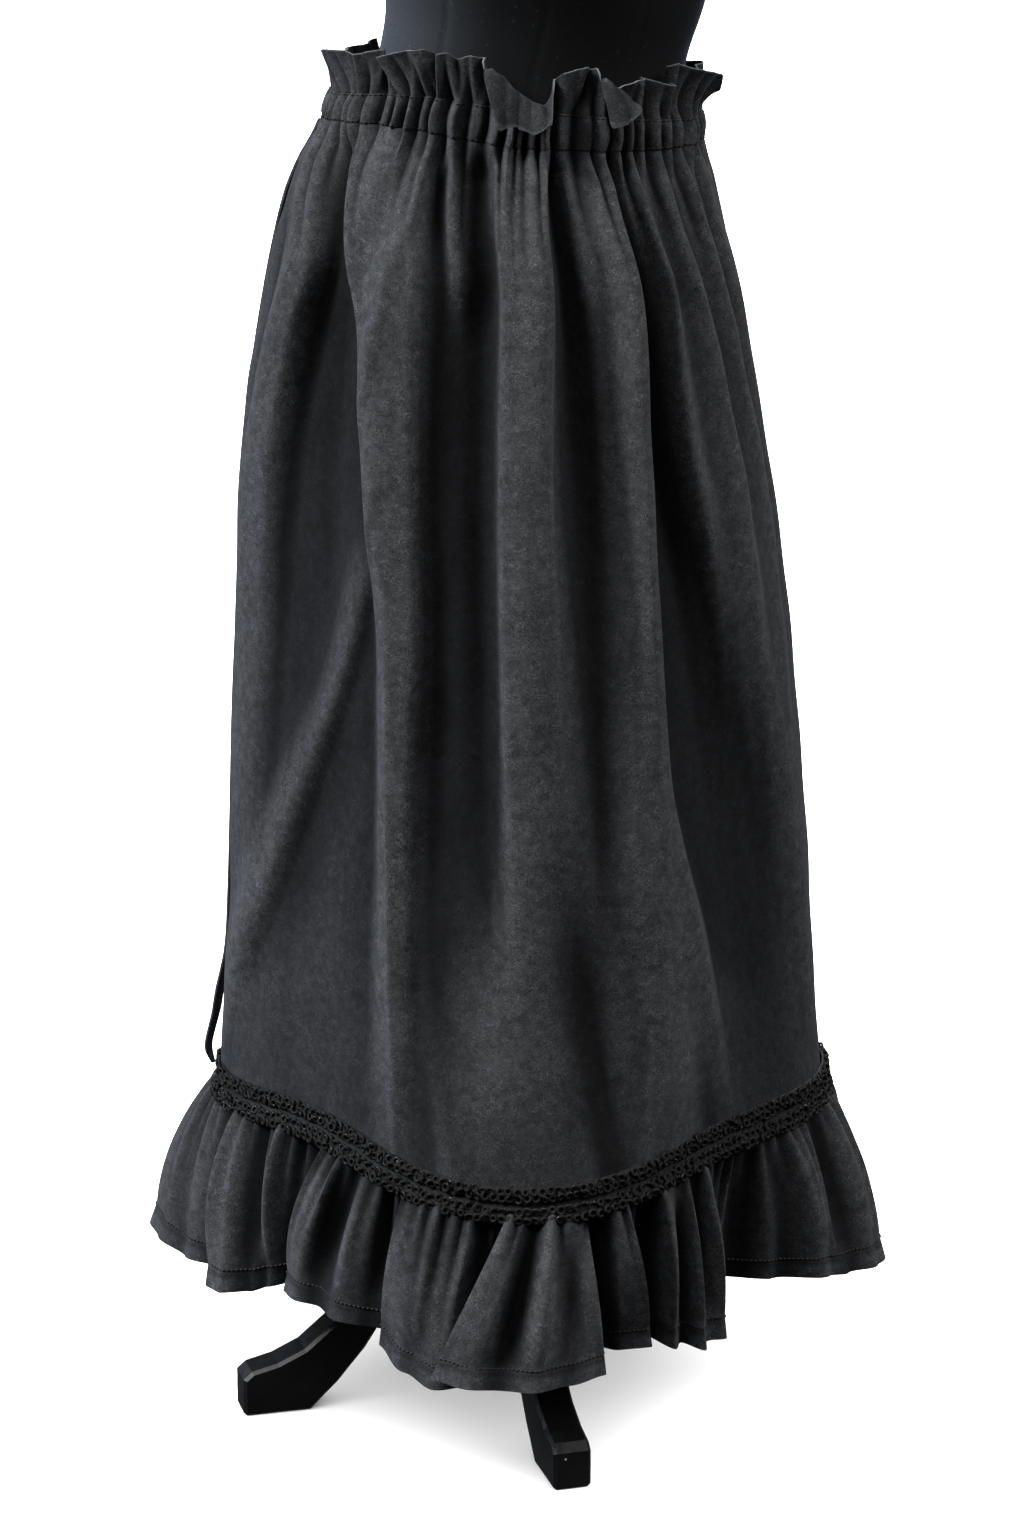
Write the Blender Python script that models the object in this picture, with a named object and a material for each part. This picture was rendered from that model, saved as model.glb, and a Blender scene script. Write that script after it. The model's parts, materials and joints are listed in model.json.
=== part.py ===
"""Long gathered skirt worn by a limbless dress form on a three-legged stand.

The skirt is drawn up on an elastic waist casing with a free frill above it,
falls in soft folds, and ends in a gathered hem ruffle under a looped braid.
+Z is up, the front faces -Y, and the floor is Z = 0. Sizes are in metres,
and the tables are in millimetres and degrees.
"""

import math

import bmesh
import bpy
from mathutils import Vector

MM = 0.001
GAP = 0.3 * MM
CLOTH = 1.6 * MM
CASING_CLOTH = 2.4 * MM
HEADER_CLOTH = 2.0 * MM
WAIST = 1.0165
TRIM = 0.262
BRAID_UP = 0.012
BRAID_THICK = 5.0 * MM
HEADER_RISE = 0.037
GATHERS = 32
COLUMNS = 4 * GATHERS
HALF = COLUMNS // 2
TIE_COLUMNS = (59, 60, 61, 62, 63)
FORM_SIDES = 28
LEG_THICK = 0.030
LEG_REACH = 0.212
HUB_X = -0.018
HUB_Y = -0.018
POLE_RADIUS = 0.0125
HUB_RADIUS = 0.034

# Outline of the skirt: half width, half depth, centre and the cut corners.
SECTION_COLUMNS = ("z", "width", "depth", "x", "y", "corner")
SECTIONS = (
    (1016.5, 138.0, 112.3, -6, -25, 0),
    (1000.0, 144.0, 118.0, -8, -24.5, 0),
    (985.0, 151.0, 125.0, -10, -24, 0),
    (960.0, 160.0, 138.0, -12, -22, 0),
    (925.0, 169.5, 153.0, -12, -20, 0),
    (880.0, 179.0, 166.0, -12, -18, 1),
    (820.0, 189.5, 180.0, -12, -14, 3),
    (745.0, 201.0, 193.0, -10, -10, 4),
    (655.0, 209.5, 205.0, -6, -7, 6),
    (560.0, 217.5, 214.0, -4, -4, 8),
    (460.0, 224.5, 223.0, -1, -2, 9),
    (360.0, 230.5, 234.0, 0.5, 0, 12),
    (262.0, 238.0, 250.0, 2, 0, 15.5),
)

# Heights at which the folds' angles and rises are given.
FOLD_HEIGHTS = (1016.5, 920, 800, 620, 430, 290)

# Each fold runs down the front: its angle and rise at those heights, and
# how far it reaches to each side at the top and at the bottom.
FOLD_COLUMNS = ("name", "angles", "rises", "left", "right")
FRONT_FOLDS = (
    ("side", (-176, -175, -174, -172, -170, -170), (2, 5, 5, 4, 2, 0), (12, 14), (10, 12)),
    ("second", (-163, -158, -154, -158, -163, -165), (2, 9, 9, 6, 3, 0), (6, 8), (10, 12)),
    ("left_dip", (-152, -145, -138, -134, -140, -142), (0, -10, -13, -9, -3, 0), (9, 12), (9, 14)),
    ("long_ridge", (-138, -127, -117, -113.5, -115.5, -116), (2, 13, 15, 12, 5, 1), (11, 6), (12, 6)),
    ("upper_ridge", (-119, -115, -114, -114, -114, -114), (2, 3, 0, 0, 0, 0), (5, 5), (5, 5)),
    ("dark_dip", (-112, -101, -101, -104, -106, -106), (0, -10, -12, -9, -4, 0), (8, 9), (9, 14)),
    ("short_ridge", (-110, -102.5, -102, -102, -102, -102), (2, 3, 0, 0, 0, 0), (5, 5), (5, 5)),
    ("middle", (-84, -83, -84, -87, -87, -88), (2, 12, 13, 9, 3, 0), (9, 9), (9, 9)),
    ("middle_dip", (-75, -70, -69, -71, -72, -72), (0, -9, -10, -5, -1, 0), (5, 8), (5, 10)),
    ("wide_panel", (-64, -56, -55, -59, -58, -57), (2, 13, 16, 14, 6, 1), (12, 16), (5, 5)),
    ("deep_dip", (-52, -48.5, -48, -48, -40, -36), (0, -15, -19, -19, -8, 0), (5, 8), (5, 13)),
    ("narrow", (-40, -43, -42, -36, -30, -30), (2, 9, 8, 3, 0, 0), (5, 6), (5, 8)),
    ("right_one", (-34.5, -29, -26.5, -24, -22, -22), (2, 8, 6, 3, 0, 0), (6, 9), (5, 8)),
    ("right_two", (-24, -22, -16, -10, -8, -8), (2, 7, 6, 3, 0, 0), (5, 8), (6, 8)),
    ("right_side", (-14, -6, -2, 2, 4, 4), (2, 6, 5, 3, 1, 0), (8, 10), (8, 10)),
    ("diagonal", (-120, -120, -119, -131, -155, -165), (0, 0, 0, 5, 5, 2), (16, 16), (6, 8)),
    ("low_curve", (-66, -66, -65, -65, -62, -52), (0, 0, 0, 1, 4, 3), (7, 9), (5, 7)),
    ("low_dip", (-34, -34, -34, -34, -32, -30), (0, 0, -1, -6, -7, -2), (14, 16), (14, 16)),
)
BACK_TURN = 186
BACK_SHARE = 0.85

# Hem of the ruffle, seen from above: each row is an outward or inward turn.
HEM_COLUMNS = ("name", "angle", "radius", "z")
HEM = (
    ("left_crest", -184, 303, 122),
    ("left_dip", -174, 266, 112),
    ("left_corner", -161, 260, 112),
    ("left_valley", -152.5, 210, 123),
    ("left_panel", -140, 226, 126),
    ("left_nick", -124, 226, 119),
    ("front_corner", -104, 285, 107),
    ("front_panel", -93, 283, 105),
    ("front_soft", -84, 270, 108),
    ("front_end", -75, 255, 110),
    ("valley", -69.5, 215, 113),
    ("pleat", -66.5, 231, 113),
    ("nick", -63, 224, 113),
    ("right_panel", -56, 250, 109),
    ("right_edge", -49, 233, 110),
    ("right_valley", -28.5, 180, 121),
    ("side_panel", -17, 256, 115),
    ("right_crest", -4, 295, 109),
    ("back_dip_1", 10, 258, 115),
    ("back_1", 22, 291, 111),
    ("back_dip_2", 35, 234, 118),
    ("back_2", 48, 278, 112),
    ("back_dip_3", 60, 236, 116),
    ("back_3", 72, 284, 108),
    ("back_dip_4", 85, 246, 110),
    ("back_4", 97, 287, 106),
    ("back_dip_5", 110, 234, 114),
    ("back_5", 122, 276, 110),
    ("back_dip_6", 134, 236, 116),
    ("back_6", 147, 286, 112),
    ("back_dip_7", 160, 246, 118),
)

# Outward flops of the frill's top edge: where, how wide and how far.
FLOP_COLUMNS = ("angle", "reach", "out", "drop")
FLOPS = (
    (-86, 9, 20, 22),
    (-58, 8, 19, 17),
    (-9, 9, 14, 8),
    (32, 8, 12, 8),
    (83, 9, 17, 16),
    (138, 8, 13, 9),
)

# Drop of the panel rows, and the shares of the ruffle and the frill.
SKIRT_ROWS = (1016.5, 998, 975, 940, 890, 825, 745, 655, 560, 460, 360)
RUFFLE_ROWS = (0.0, 0.11, 0.35, 0.67, 1.0)
HEADER_ROWS = (0.0, 0.34, 0.68, 1.0)
TIE_ROWS = (1013, 998, 975, 940, 890, 825, 745, 655, 560, 460, 400, 355, 320, 300, 280, 268, 256)
TIE_STAND = (0.5, 0.5, 0.5, 0.5, 0.5, 0.5, 0.5, 0.5, 0.5, 0.5, 0.8, 2.0, 8.0, 10.0, 14.0, 15.0, 10.0)
TIE_WIDTH = (0.7, 0.75, 0.8, 0.9, 0.95, 1, 1, 1, 1, 1, 1, 1, 1, 1, 0.9, 0.65, 0.2)

# Dress form, from its base to its neck.
FORM_COLUMNS = ("z", "width", "depth", "x", "y")
FORM = (
    (700, 112, 86, -9, -26),
    (712, 133, 104, -9, -26),
    (760, 143, 114, -9, -26),
    (830, 147, 119, -7, -26),
    (890, 143, 117, -4, -26),
    (940, 134, 111, -1, -26),
    (970, 128, 105, 1.5, -25.5),
    (995, 120.8, 101, 3, -25),
    (1030, 116.5, 97, 5, -25),
    (1067, 114.8, 95, 8.7, -26),
    (1107, 118, 98, 18, -27),
    (1160, 127, 107, 21, -31),
    (1230, 140, 122, 21, -36),
    (1290, 148, 126, 21, -36),
    (1345, 154, 110, 21, -28),
    (1395, 160, 92, 21, -22),
    (1430, 146, 80, 21, -20),
    (1452, 112, 68, 21, -19),
    (1468, 76, 58, 21, -19),
    (1485, 57, 53, 21, -19),
    (1520, 52, 51, 21, -20),
)

# Side view of one leg: distance back from its toe and height. The last
# column says that a point is measured from the hub's axis instead.
LEG_COLUMNS = ("distance", "z", "from_hub")
LEG_OUTLINE = (
    (0, 0, False),
    (0, 31, False),
    (7, 37, False),
    (28, 42, False),
    (50, 52, False),
    (74, 72, False),
    (92, 100, False),
    (103, 132, False),
    (118, 165, False),
    (66, 196, True),
    (34.3, 214, True),
    (34.3, 172, True),
    (54, 158, True),
    (141, 134, False),
    (133, 108, False),
    (118, 77, False),
    (99, 48, False),
    (77, 22, False),
    (54, 0, False),
)

COLOURS = {
    "cloth": (0.030, 0.032, 0.036),
    "braid": (0.008, 0.008, 0.009),
    "form": (0.012, 0.012, 0.013),
    "wood": (0.010, 0.010, 0.011),
}
ROUGHNESS = {"cloth": 0.9, "braid": 0.6, "form": 0.95, "wood": 0.28}


def along(keys, values, at):
    """Value at a place among falling or rising keys, on a smooth curve."""
    if keys[0] > keys[-1]:
        keys = keys[::-1]
        values = values[::-1]
    if at <= keys[0]:
        return values[0]
    if at >= keys[-1]:
        return values[-1]
    i = max(k for k in range(len(keys) - 1) if keys[k] <= at)
    span = keys[i + 1] - keys[i]
    t = (at - keys[i]) / span
    slope = (values[i + 1] - values[i]) / span
    before = slope
    after = slope
    if i > 0:
        before = (values[i + 1] - values[i - 1]) / (keys[i + 1] - keys[i - 1])
    if i < len(keys) - 2:
        after = (values[i + 2] - values[i]) / (keys[i + 2] - keys[i])
    a = 2 * t**3 - 3 * t**2 + 1
    b = t**3 - 2 * t**2 + t
    c = 3 * t**2 - 2 * t**3
    d = t**3 - t**2
    return a * values[i] + b * span * before + c * values[i + 1] + d * span * after


def bump(offset, left, right):
    """A smooth rise of height one that ends at its two reaches."""
    reach = left if offset < 0 else right
    share = abs(offset) / reach
    if share >= 1:
        return 0.0
    return 0.5 * (1 + math.cos(math.pi * share))


def turn_between(a, b):
    """Signed difference of two angles in degrees."""
    return (a - b + 180) % 360 - 180


def column_angle(column):
    """Angle of a column, unevenly spaced as hand-drawn gathers are."""
    even = -180 + 360 * column / COLUMNS
    turn = math.radians(even)
    uneven = 1.5 * math.sin(3 * turn) + 1.1 * math.sin(7 * turn) + 0.8 * math.sin(11 * turn)
    return even + uneven


def gather(column):
    """Wave of the gathers: out at every fourth column and in between them."""
    wave = math.cos(2 * math.pi * column / 4)
    uneven = 1 + 0.28 * math.sin(1.9 * column) * math.sin(0.37 * column)
    return wave * (uneven if wave > 0 else 1)


def tilt(angle):
    """Lift of the waist line: it sits lower at the wearer's left."""
    turn = math.radians(angle)
    return -0.0085 * math.cos(turn) + 0.006 * bump(turn_between(angle, -132), 50, 45)


def trim_height(angle):
    """Height of the seam between skirt and ruffle, dipping at the front."""
    rise = 0.009 * bump(turn_between(angle, -142), 35, 35)
    dip = 0.016 * bump(turn_between(angle, -88), 48, 48)
    back = 0.004 * bump(turn_between(angle, 90), 70, 70)
    return TRIM + rise - dip - back


def fold_height(angle, z):
    """Sum of the folds at an angle and a height in millimetres."""
    total = 0.0
    for name, angles, rises, left, right in FRONT_FOLDS:
        centre = along(FOLD_HEIGHTS, angles, z)
        rise = along(FOLD_HEIGHTS, rises, z)
        share = min(1, max(0, (WAIST / MM - z) / 600))
        reach_left = left[0] + (left[1] - left[0]) * share
        reach_right = right[0] + (right[1] - right[0]) * share
        total += rise * bump(turn_between(angle, centre), reach_left, reach_right)
        total += BACK_SHARE * rise * bump(turn_between(angle, centre + BACK_TURN), reach_left, reach_right)
    return total


def section(z):
    """Row of the outline table worked out at a height in millimetres."""
    keys = [row[0] for row in SECTIONS]
    return {name: along(keys, [row[i] for row in SECTIONS], z) for i, name in enumerate(SECTION_COLUMNS)}


def skirt_radius(angle, z):
    """Radius in millimetres of the skirt's outside without its gathers."""
    row = section(z)
    turn = math.radians(angle)
    width = row["width"] - row["corner"]
    depth = row["depth"] - row["corner"]
    ellipse = 1 / math.hypot(math.cos(turn) / width, math.sin(turn) / depth)
    return ellipse + row["corner"] * math.cos(4 * turn) + fold_height(angle, z)


def skirt_point(angle, z, wave=0.0):
    """Point on the skirt's outside. The rows tilt and dip with the seams."""
    row = section(z)
    fade = along((1016.5, 998, 970, 935, 890), (5.5, 4.3, 2.6, 1.0, 0.0), z)
    radius = skirt_radius(angle, z) + fade * wave
    turn = math.radians(angle)
    low = min(1, max(0, (460 - z) / 198))
    low = low * low * (3 - 2 * low)
    high = min(1, max(0, (z - 560) / 440))
    lift = high * tilt(angle) + low * (trim_height(angle) - TRIM)
    x = (row["x"] + radius * math.cos(turn)) * MM
    y = (row["y"] + radius * math.sin(turn)) * MM
    return Vector((x, y, z * MM + lift))


def hem_point(angle):
    """Point on the ruffle's outer hem, on a smooth curve through the table."""
    rows = [(row[1] + 360 * k, row[2], row[3]) for k in (-1, 0, 1) for row in HEM]
    rows.sort()
    keys = [row[0] for row in rows]
    i = max(k for k in range(len(keys)) if keys[k] <= angle)
    t = (angle - keys[i]) / (keys[i + 1] - keys[i])
    t = t * t * (3 - 2 * t)
    radius = rows[i][1] + (rows[i + 1][1] - rows[i][1]) * t
    height = rows[i][2] + (rows[i + 1][2] - rows[i][2]) * t
    turn = math.radians(angle)
    return Vector((radius * MM * math.cos(turn), radius * MM * math.sin(turn), height * MM))


def ruffle_point(column, share):
    """Point on the ruffle's outside, from its seam down to its hem."""
    angle = column_angle(column)
    turn = math.radians(angle)
    top = skirt_point(angle, TRIM / MM)
    top.z -= GAP
    hem = hem_point(angle)
    puff = 5.0 * math.sin(math.pi * share) + 2.6 * gather(column) * min(1, share / 0.11 + 0.3) * (1 - share) ** 2
    point = top.lerp(hem, share)
    return point + Vector((math.cos(turn), math.sin(turn), 0)) * puff * MM


def casing_point(column, share):
    """Point on the waist casing's outside, from its lower to its upper stitches."""
    angle = column_angle(column)
    turn = math.radians(angle)
    swell = 1.5 * math.sin(math.pi * share)
    wave = 5.5 * gather(column)
    taper = 4.0 * share
    width = 138.0 - taper + swell + wave
    depth = 112.3 - taper + swell + wave
    radius = 1 / math.hypot(math.cos(turn) / width, math.sin(turn) / depth)
    height = 0.0195 + 0.0075 * math.sin(turn) ** 2
    x = (-6 + 3.2 * share + radius * math.cos(turn)) * MM
    y = (-25 + radius * math.sin(turn)) * MM
    return Vector((x, y, WAIST + GAP + tilt(angle) + share * height))


def header_point(column, share):
    """Point on the free frill's outside, from the casing to its top edge."""
    angle = column_angle(column)
    turn = math.radians(angle)
    base = casing_point(column, 1.0)
    flop = 0.0
    drop = 0.0
    for at, reach, out, down in FLOPS:
        near = bump(turn_between(angle, at), reach, reach)
        flop += near * out
        drop += near * down
    wave = 3.2 * math.sin(2 * math.pi * column / 9.1 + 0.8) * share
    sway = 2.0 * math.sin(5 * turn + 0.4) * share
    out = 2.5 * share + wave + sway + flop * share**1.6
    low = 0.007 * bump(turn_between(angle, -170), 45, 50)
    rise = (HEADER_RISE - low) * share - drop * MM * share**2.2
    out_way = Vector((math.cos(turn), math.sin(turn), 0))
    return base + out_way * out * MM + Vector((0, 0, GAP + rise))


def normals_of(rows, closed):
    """Outward directions at each point of a grid that runs round the part."""
    found = []
    for r, row in enumerate(rows):
        line = []
        for c in range(len(row)):
            if closed:
                along_row = row[(c + 1) % len(row)] - row[c - 1]
            else:
                along_row = row[min(c + 1, len(row) - 1)] - row[max(c - 1, 0)]
            down = rows[min(r + 1, len(rows) - 1)][c] - rows[max(r - 1, 0)][c]
            line.append(down.cross(along_row).normalized())
        found.append(line)
    return found


def moved(rows, normals, distance):
    """The grid moved along its directions, with level rows kept level."""
    result = []
    for row, line in zip(rows, normals):
        result.append([p + Vector((n.x, n.y, 0)).normalized() * distance for p, n in zip(row, line)])
    return result


def material(name, look):
    """The look of one object, with its own name."""
    made = bpy.data.materials.new(name)
    made.use_nodes = True
    shader = made.node_tree.nodes["Principled BSDF"]
    shader.inputs["Base Color"].default_value = (*COLOURS[look], 1)
    shader.inputs["Roughness"].default_value = ROUGHNESS[look]
    shader.inputs["Metallic"].default_value = 0.0
    return made


def add_object(name, bm, look):
    """Object from a finished bmesh, shaded smooth but for its sharp edges."""
    bmesh.ops.recalc_face_normals(bm, faces=bm.faces)
    mesh = bpy.data.meshes.new(name)
    bm.to_mesh(mesh)
    bm.free()
    mesh.shade_smooth()
    mesh.set_sharp_from_angle(angle=math.radians(50))
    mesh.materials.append(material(name, look))
    made = bpy.data.objects.new(name, mesh)
    bpy.context.scene.collection.objects.link(made)
    return made


def shell(name, outer, inner, closed, look):
    """Closed wall between two grids of the same size."""
    bm = bmesh.new()
    out = [[bm.verts.new(p) for p in row] for row in outer]
    back = [[bm.verts.new(p) for p in row] for row in inner]
    columns = len(outer[0])
    steps = columns if closed else columns - 1

    def band(first, second, turned=False):
        for c in range(steps):
            n = (c + 1) % columns
            for corners in ((first[c], first[n], second[n]), (first[c], second[n], second[c])):
                bm.faces.new(corners[::-1] if turned else corners)

    for first, second in zip(out, out[1:]):
        band(first, second)
    for first, second in zip(back, back[1:]):
        band(first, second, True)
    band(back[0], out[0])
    band(out[-1], back[-1])
    if not closed:
        for side in (0, columns - 1):
            for r in range(len(out) - 1):
                corners = (out[r][side], out[r + 1][side], back[r + 1][side], back[r][side])
                turned = corners if side == 0 else corners[::-1]
                bm.faces.new(turned[:3])
                bm.faces.new((turned[0], turned[2], turned[3]))
    return add_object(name, bm, look)


def half_shells(name, rows, thickness, look):
    """Front and back halves of a wall, a seam's gap apart at the two sides."""
    normals = normals_of([row[:COLUMNS] for row in rows], True)
    inner = moved([row[:COLUMNS] for row in rows], normals, -thickness)
    for side, start, sign in (("front", 0, -1), ("back", HALF, 1)):
        span = [(start + k) % COLUMNS for k in range(HALF + 1)]
        outer_half = [[row[c].copy() for c in span] for row in rows]
        inner_half = [[row[c].copy() for c in span] for row in inner]
        for row in outer_half + inner_half:
            row[0].y += sign * GAP / 2
            row[-1].y += sign * GAP / 2
        shell(f"{name}_{side}", outer_half, inner_half, False, look)


def make_skirt():
    """Front and back panels from the casing to the ruffle's seam."""
    rows = []
    for z in SKIRT_ROWS:
        rows.append([skirt_point(column_angle(c), z, gather(c)) for c in range(COLUMNS)])
    rows.append(braid_level())
    rows.append([skirt_point(column_angle(c), TRIM / MM) for c in range(COLUMNS)])
    half_shells("skirt", rows, CLOTH, "cloth")


def braid_level():
    """Skirt points along the braid's upper edge."""
    line = []
    for c in range(COLUMNS):
        angle = column_angle(c)
        point = skirt_point(angle, (TRIM + BRAID_UP) / MM)
        point.z = trim_height(angle) + BRAID_UP
        line.append(point)
    return line


def make_ruffle():
    """Hem ruffle in a front and a back strip."""
    rows = [[ruffle_point(c, share) for c in range(COLUMNS)] for share in RUFFLE_ROWS]
    half_shells("hem_ruffle", rows, CLOTH, "cloth")


def make_waist():
    """Elastic casing and the free frill that stands above it."""
    casing = [[casing_point(c, share) for c in range(COLUMNS)] for share in (1.0, 0.5, 0.0)]
    half_shells("waist_casing", casing, CASING_CLOTH, "cloth")
    header = [[header_point(c, share) for c in range(COLUMNS)] for share in HEADER_ROWS[::-1]]
    half_shells("waist_frill", header, HEADER_CLOTH, "cloth")


def make_braid():
    """Looped braid over the seam, made from the cloth's points moved out."""
    seam = [skirt_point(column_angle(c), TRIM / MM) for c in range(COLUMNS)]
    for c, point in enumerate(seam):
        low = ruffle_point(c, 0.0)
        if math.hypot(low.x, low.y) > math.hypot(point.x, point.y):
            point.x = low.x
            point.y = low.y
    rows = [braid_level(), seam, [ruffle_point(c, RUFFLE_ROWS[1]) for c in range(COLUMNS)]]
    normals = normals_of(rows, True)
    inner = moved(rows, normals, 2 * GAP)
    outer = moved([rows[0], rows[2]], [normals[0], normals[2]], 1.5 * MM)
    middle = []
    for share in (0.3, 0.7):
        line = []
        for c in range(COLUMNS):
            point = rows[0][c].lerp(rows[2][c], share)
            way = Vector((normals[1][c].x, normals[1][c].y, 0)).normalized()
            scallop = 0.8 * MM * math.cos(math.pi * c)
            line.append(point + way * (BRAID_THICK + scallop))
        middle.append(line)
    shell("braid_trim", [outer[0], *middle, outer[1]], [inner[0], inner[1], inner[1], inner[2]], True, "braid")


def make_tie():
    """Self-fabric tie end that hangs from the casing down the left side."""
    centre = column_angle(HALF + TIE_COLUMNS[2])
    outer = []
    inner = []
    for z, stand, width in zip(TIE_ROWS, TIE_STAND, TIE_WIDTH):
        near = []
        far = []
        for k, column in enumerate(TIE_COLUMNS):
            angle = centre + (column_angle(HALF + column) - centre) * width
            point = skirt_point(angle, z, 1.3)
            way = Vector((math.cos(math.radians(angle)), math.sin(math.radians(angle)), 0))
            belly = 1.2 * (1 - ((k - 2) / 2) ** 2)
            near.append(point + way * (stand + 0.4) * MM)
            far.append(point + way * (stand + 2.2 + belly) * MM)
        inner.append(near)
        outer.append(far)
    shell("tie_end", outer, inner, False, "cloth")


def ring(bm, z, width, depth, x, y, sides):
    """Ring of points of an ellipse at one height."""
    made = []
    for k in range(sides):
        turn = 2 * math.pi * k / sides
        made.append(bm.verts.new((x + width * math.cos(turn), y + depth * math.sin(turn), z)))
    return made


def stack(name, table, sides, look):
    """Closed solid through a stack of elliptic rings with flat ends."""
    bm = bmesh.new()
    rings = [ring(bm, *row, sides) for row in table]
    for low, high in zip(rings, rings[1:]):
        for k in range(sides):
            n = (k + 1) % sides
            bm.faces.new((low[k], low[n], high[n], high[k]))
    bm.faces.new(rings[0])
    bm.faces.new(rings[-1])
    return add_object(name, bm, look)


def make_form():
    """Smooth limbless dress form with a flat neck cap."""
    table = [(z * MM, w * MM, d * MM, x * MM, y * MM) for z, w, d, x, y in FORM]
    stack("form_torso", table, FORM_SIDES, "form")
    top, x, y = 1.5203, 0.021, -0.020
    cap = [(top, 0.0535, 0.0525, x, y), (top + 0.008, 0.055, 0.054, x, y), (top + 0.014, 0.051, 0.050, x, y)]
    cap += [(top + 0.022, 0.026, 0.0255, x, y), (top + 0.030, 0.014, 0.014, x, y)]
    cap += [(top + 0.044, 0.0175, 0.0175, x, y), (top + 0.054, 0.0125, 0.0125, x, y)]
    stack("neck_cap", cap, 24, "wood")


def make_stand():
    """Pole, turned hub and three curved legs."""
    pole = [(0.2323, POLE_RADIUS, POLE_RADIUS, HUB_X, HUB_Y), (0.6997, POLE_RADIUS, POLE_RADIUS, HUB_X, HUB_Y)]
    stack("stand_pole", pole, 20, "wood")
    turned = ((0.158, 0.020), (0.164, 0.030), (0.170, HUB_RADIUS), (0.216, HUB_RADIUS), (0.222, 0.028), (0.232, 0.019))
    stack("stand_hub", [(z, r, r, HUB_X, HUB_Y) for z, r in turned], 24, "wood")
    for name, angle in (("leg_left", 195), ("leg_front", 286), ("leg_back", 60)):
        make_leg(name, angle)


def make_leg(name, angle):
    """Curved leg with a flat foot, cut from board and rounded at its edges."""
    bm = bmesh.new()
    half = LEG_THICK / 2
    outline = []
    for distance, z, from_hub in LEG_OUTLINE:
        reach = distance * MM if from_hub else LEG_REACH - distance * MM
        outline.append(Vector((reach, -half, z * MM)))
    face = bm.faces.new([bm.verts.new(p) for p in outline])
    grown = bmesh.ops.extrude_face_region(bm, geom=[face])
    verts = [g for g in grown["geom"] if isinstance(g, bmesh.types.BMVert)]
    bmesh.ops.translate(bm, verts=verts, vec=(0, LEG_THICK, 0))
    bmesh.ops.recalc_face_normals(bm, faces=bm.faces)
    leg = add_object(name, bm, "wood")
    leg.location = (HUB_X, HUB_Y, 0)
    leg.rotation_euler = (0, 0, math.radians(angle))
    edge = leg.modifiers.new("edge", "BEVEL")
    edge.width = 0.0025
    edge.segments = 1
    edge.limit_method = "ANGLE"
    edge.angle_limit = math.radians(60)
    return leg


def main():
    for old in list(bpy.data.objects):
        bpy.data.objects.remove(old, do_unlink=True)
    make_skirt()
    make_ruffle()
    make_waist()
    make_braid()
    make_tie()
    make_form()
    make_stand()


main()
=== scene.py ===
"""Long gathered skirt on a dress form: the finished cloth, braid and stand.

Every piece is built in metres over the fixed frame. The tables are in
millimetres and degrees: an angle of -90 is the front, -180 the left side
as seen from the front, and 0 the right side.
"""

import json
import math

import bpy
import numpy as np
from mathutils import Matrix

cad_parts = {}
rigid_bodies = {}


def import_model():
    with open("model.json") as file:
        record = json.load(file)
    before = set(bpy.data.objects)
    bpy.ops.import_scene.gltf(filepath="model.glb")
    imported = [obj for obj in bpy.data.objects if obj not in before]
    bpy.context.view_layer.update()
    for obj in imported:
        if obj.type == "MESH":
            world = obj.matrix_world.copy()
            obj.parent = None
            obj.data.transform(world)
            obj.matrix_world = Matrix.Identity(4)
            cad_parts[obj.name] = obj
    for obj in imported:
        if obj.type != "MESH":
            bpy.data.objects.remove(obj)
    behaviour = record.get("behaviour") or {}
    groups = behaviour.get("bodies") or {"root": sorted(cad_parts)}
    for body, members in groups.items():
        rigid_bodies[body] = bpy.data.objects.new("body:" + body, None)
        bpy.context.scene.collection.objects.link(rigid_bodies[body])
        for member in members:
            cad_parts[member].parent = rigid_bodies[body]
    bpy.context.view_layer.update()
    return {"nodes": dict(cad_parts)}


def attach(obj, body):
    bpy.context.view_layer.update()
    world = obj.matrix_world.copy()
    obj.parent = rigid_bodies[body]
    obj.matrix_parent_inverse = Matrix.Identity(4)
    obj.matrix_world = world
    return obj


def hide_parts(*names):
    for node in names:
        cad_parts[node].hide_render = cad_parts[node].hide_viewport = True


bl_info = {
    "name": "Gathered skirt on a dress form",
    "version": (1, 0, 0),
    "blender": (4, 5, 0),
    "location": "View3D > Sidebar > Skirt",
    "description": "Makes a long gathered skirt with a frilled waist and a braid-trimmed ruffle",
    "category": "Object",
}

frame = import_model()

MM = 0.001
GAP = 0.3
WAIST = 1016.5
TRIM = 262.0
COLUMNS_PER_DEGREE = 1.5
FRILL_PER_DEGREE = 2.0
RUFFLE_PER_DEGREE = 1.85

# Rows of points down each piece. The skirt's are closer above one height.
CLOSE_ABOVE = 930
CLOSE_ROWS = 27
SKIRT_ROWS = 104
RUFFLE_ROWS = 34
CASING_ROWS = 20
FRILL_ROWS = 28
TIE_ROWS = 150
FORM_ROWS = 150
FORM_SIDES = 240
BRAID_SIDES = 480

# Lower edge of the waist casing: half width, half depth and centre.
CASING_WIDTH = 138.0
CASING_DEPTH = 112.3
CASING_CENTRE = (-6, -25)
CASING_COLUMNS = 744

# Gathers at the waist: how far they stand out, how far they sink in, and
# how far they run down the skirt.
PLEAT_RISE = 9.6
PLEAT_SINK = 5.0
PLEAT_RUN = 105

# Gathers of the ruffle likewise, with the share of its length that they run
# down, and how far its cloth bellies out half way.
RUFFLE_RISE = 10.5
RUFFLE_SINK = 4.8
RUFFLE_RUN = 0.78
RUFFLE_BELLY = 4.5

# The trim line bends below the first height, and the waist line tilts above
# the second one, over the reach after it.
BEND_START = 460
TILT_START = 560
TILT_REACH = 440

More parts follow.
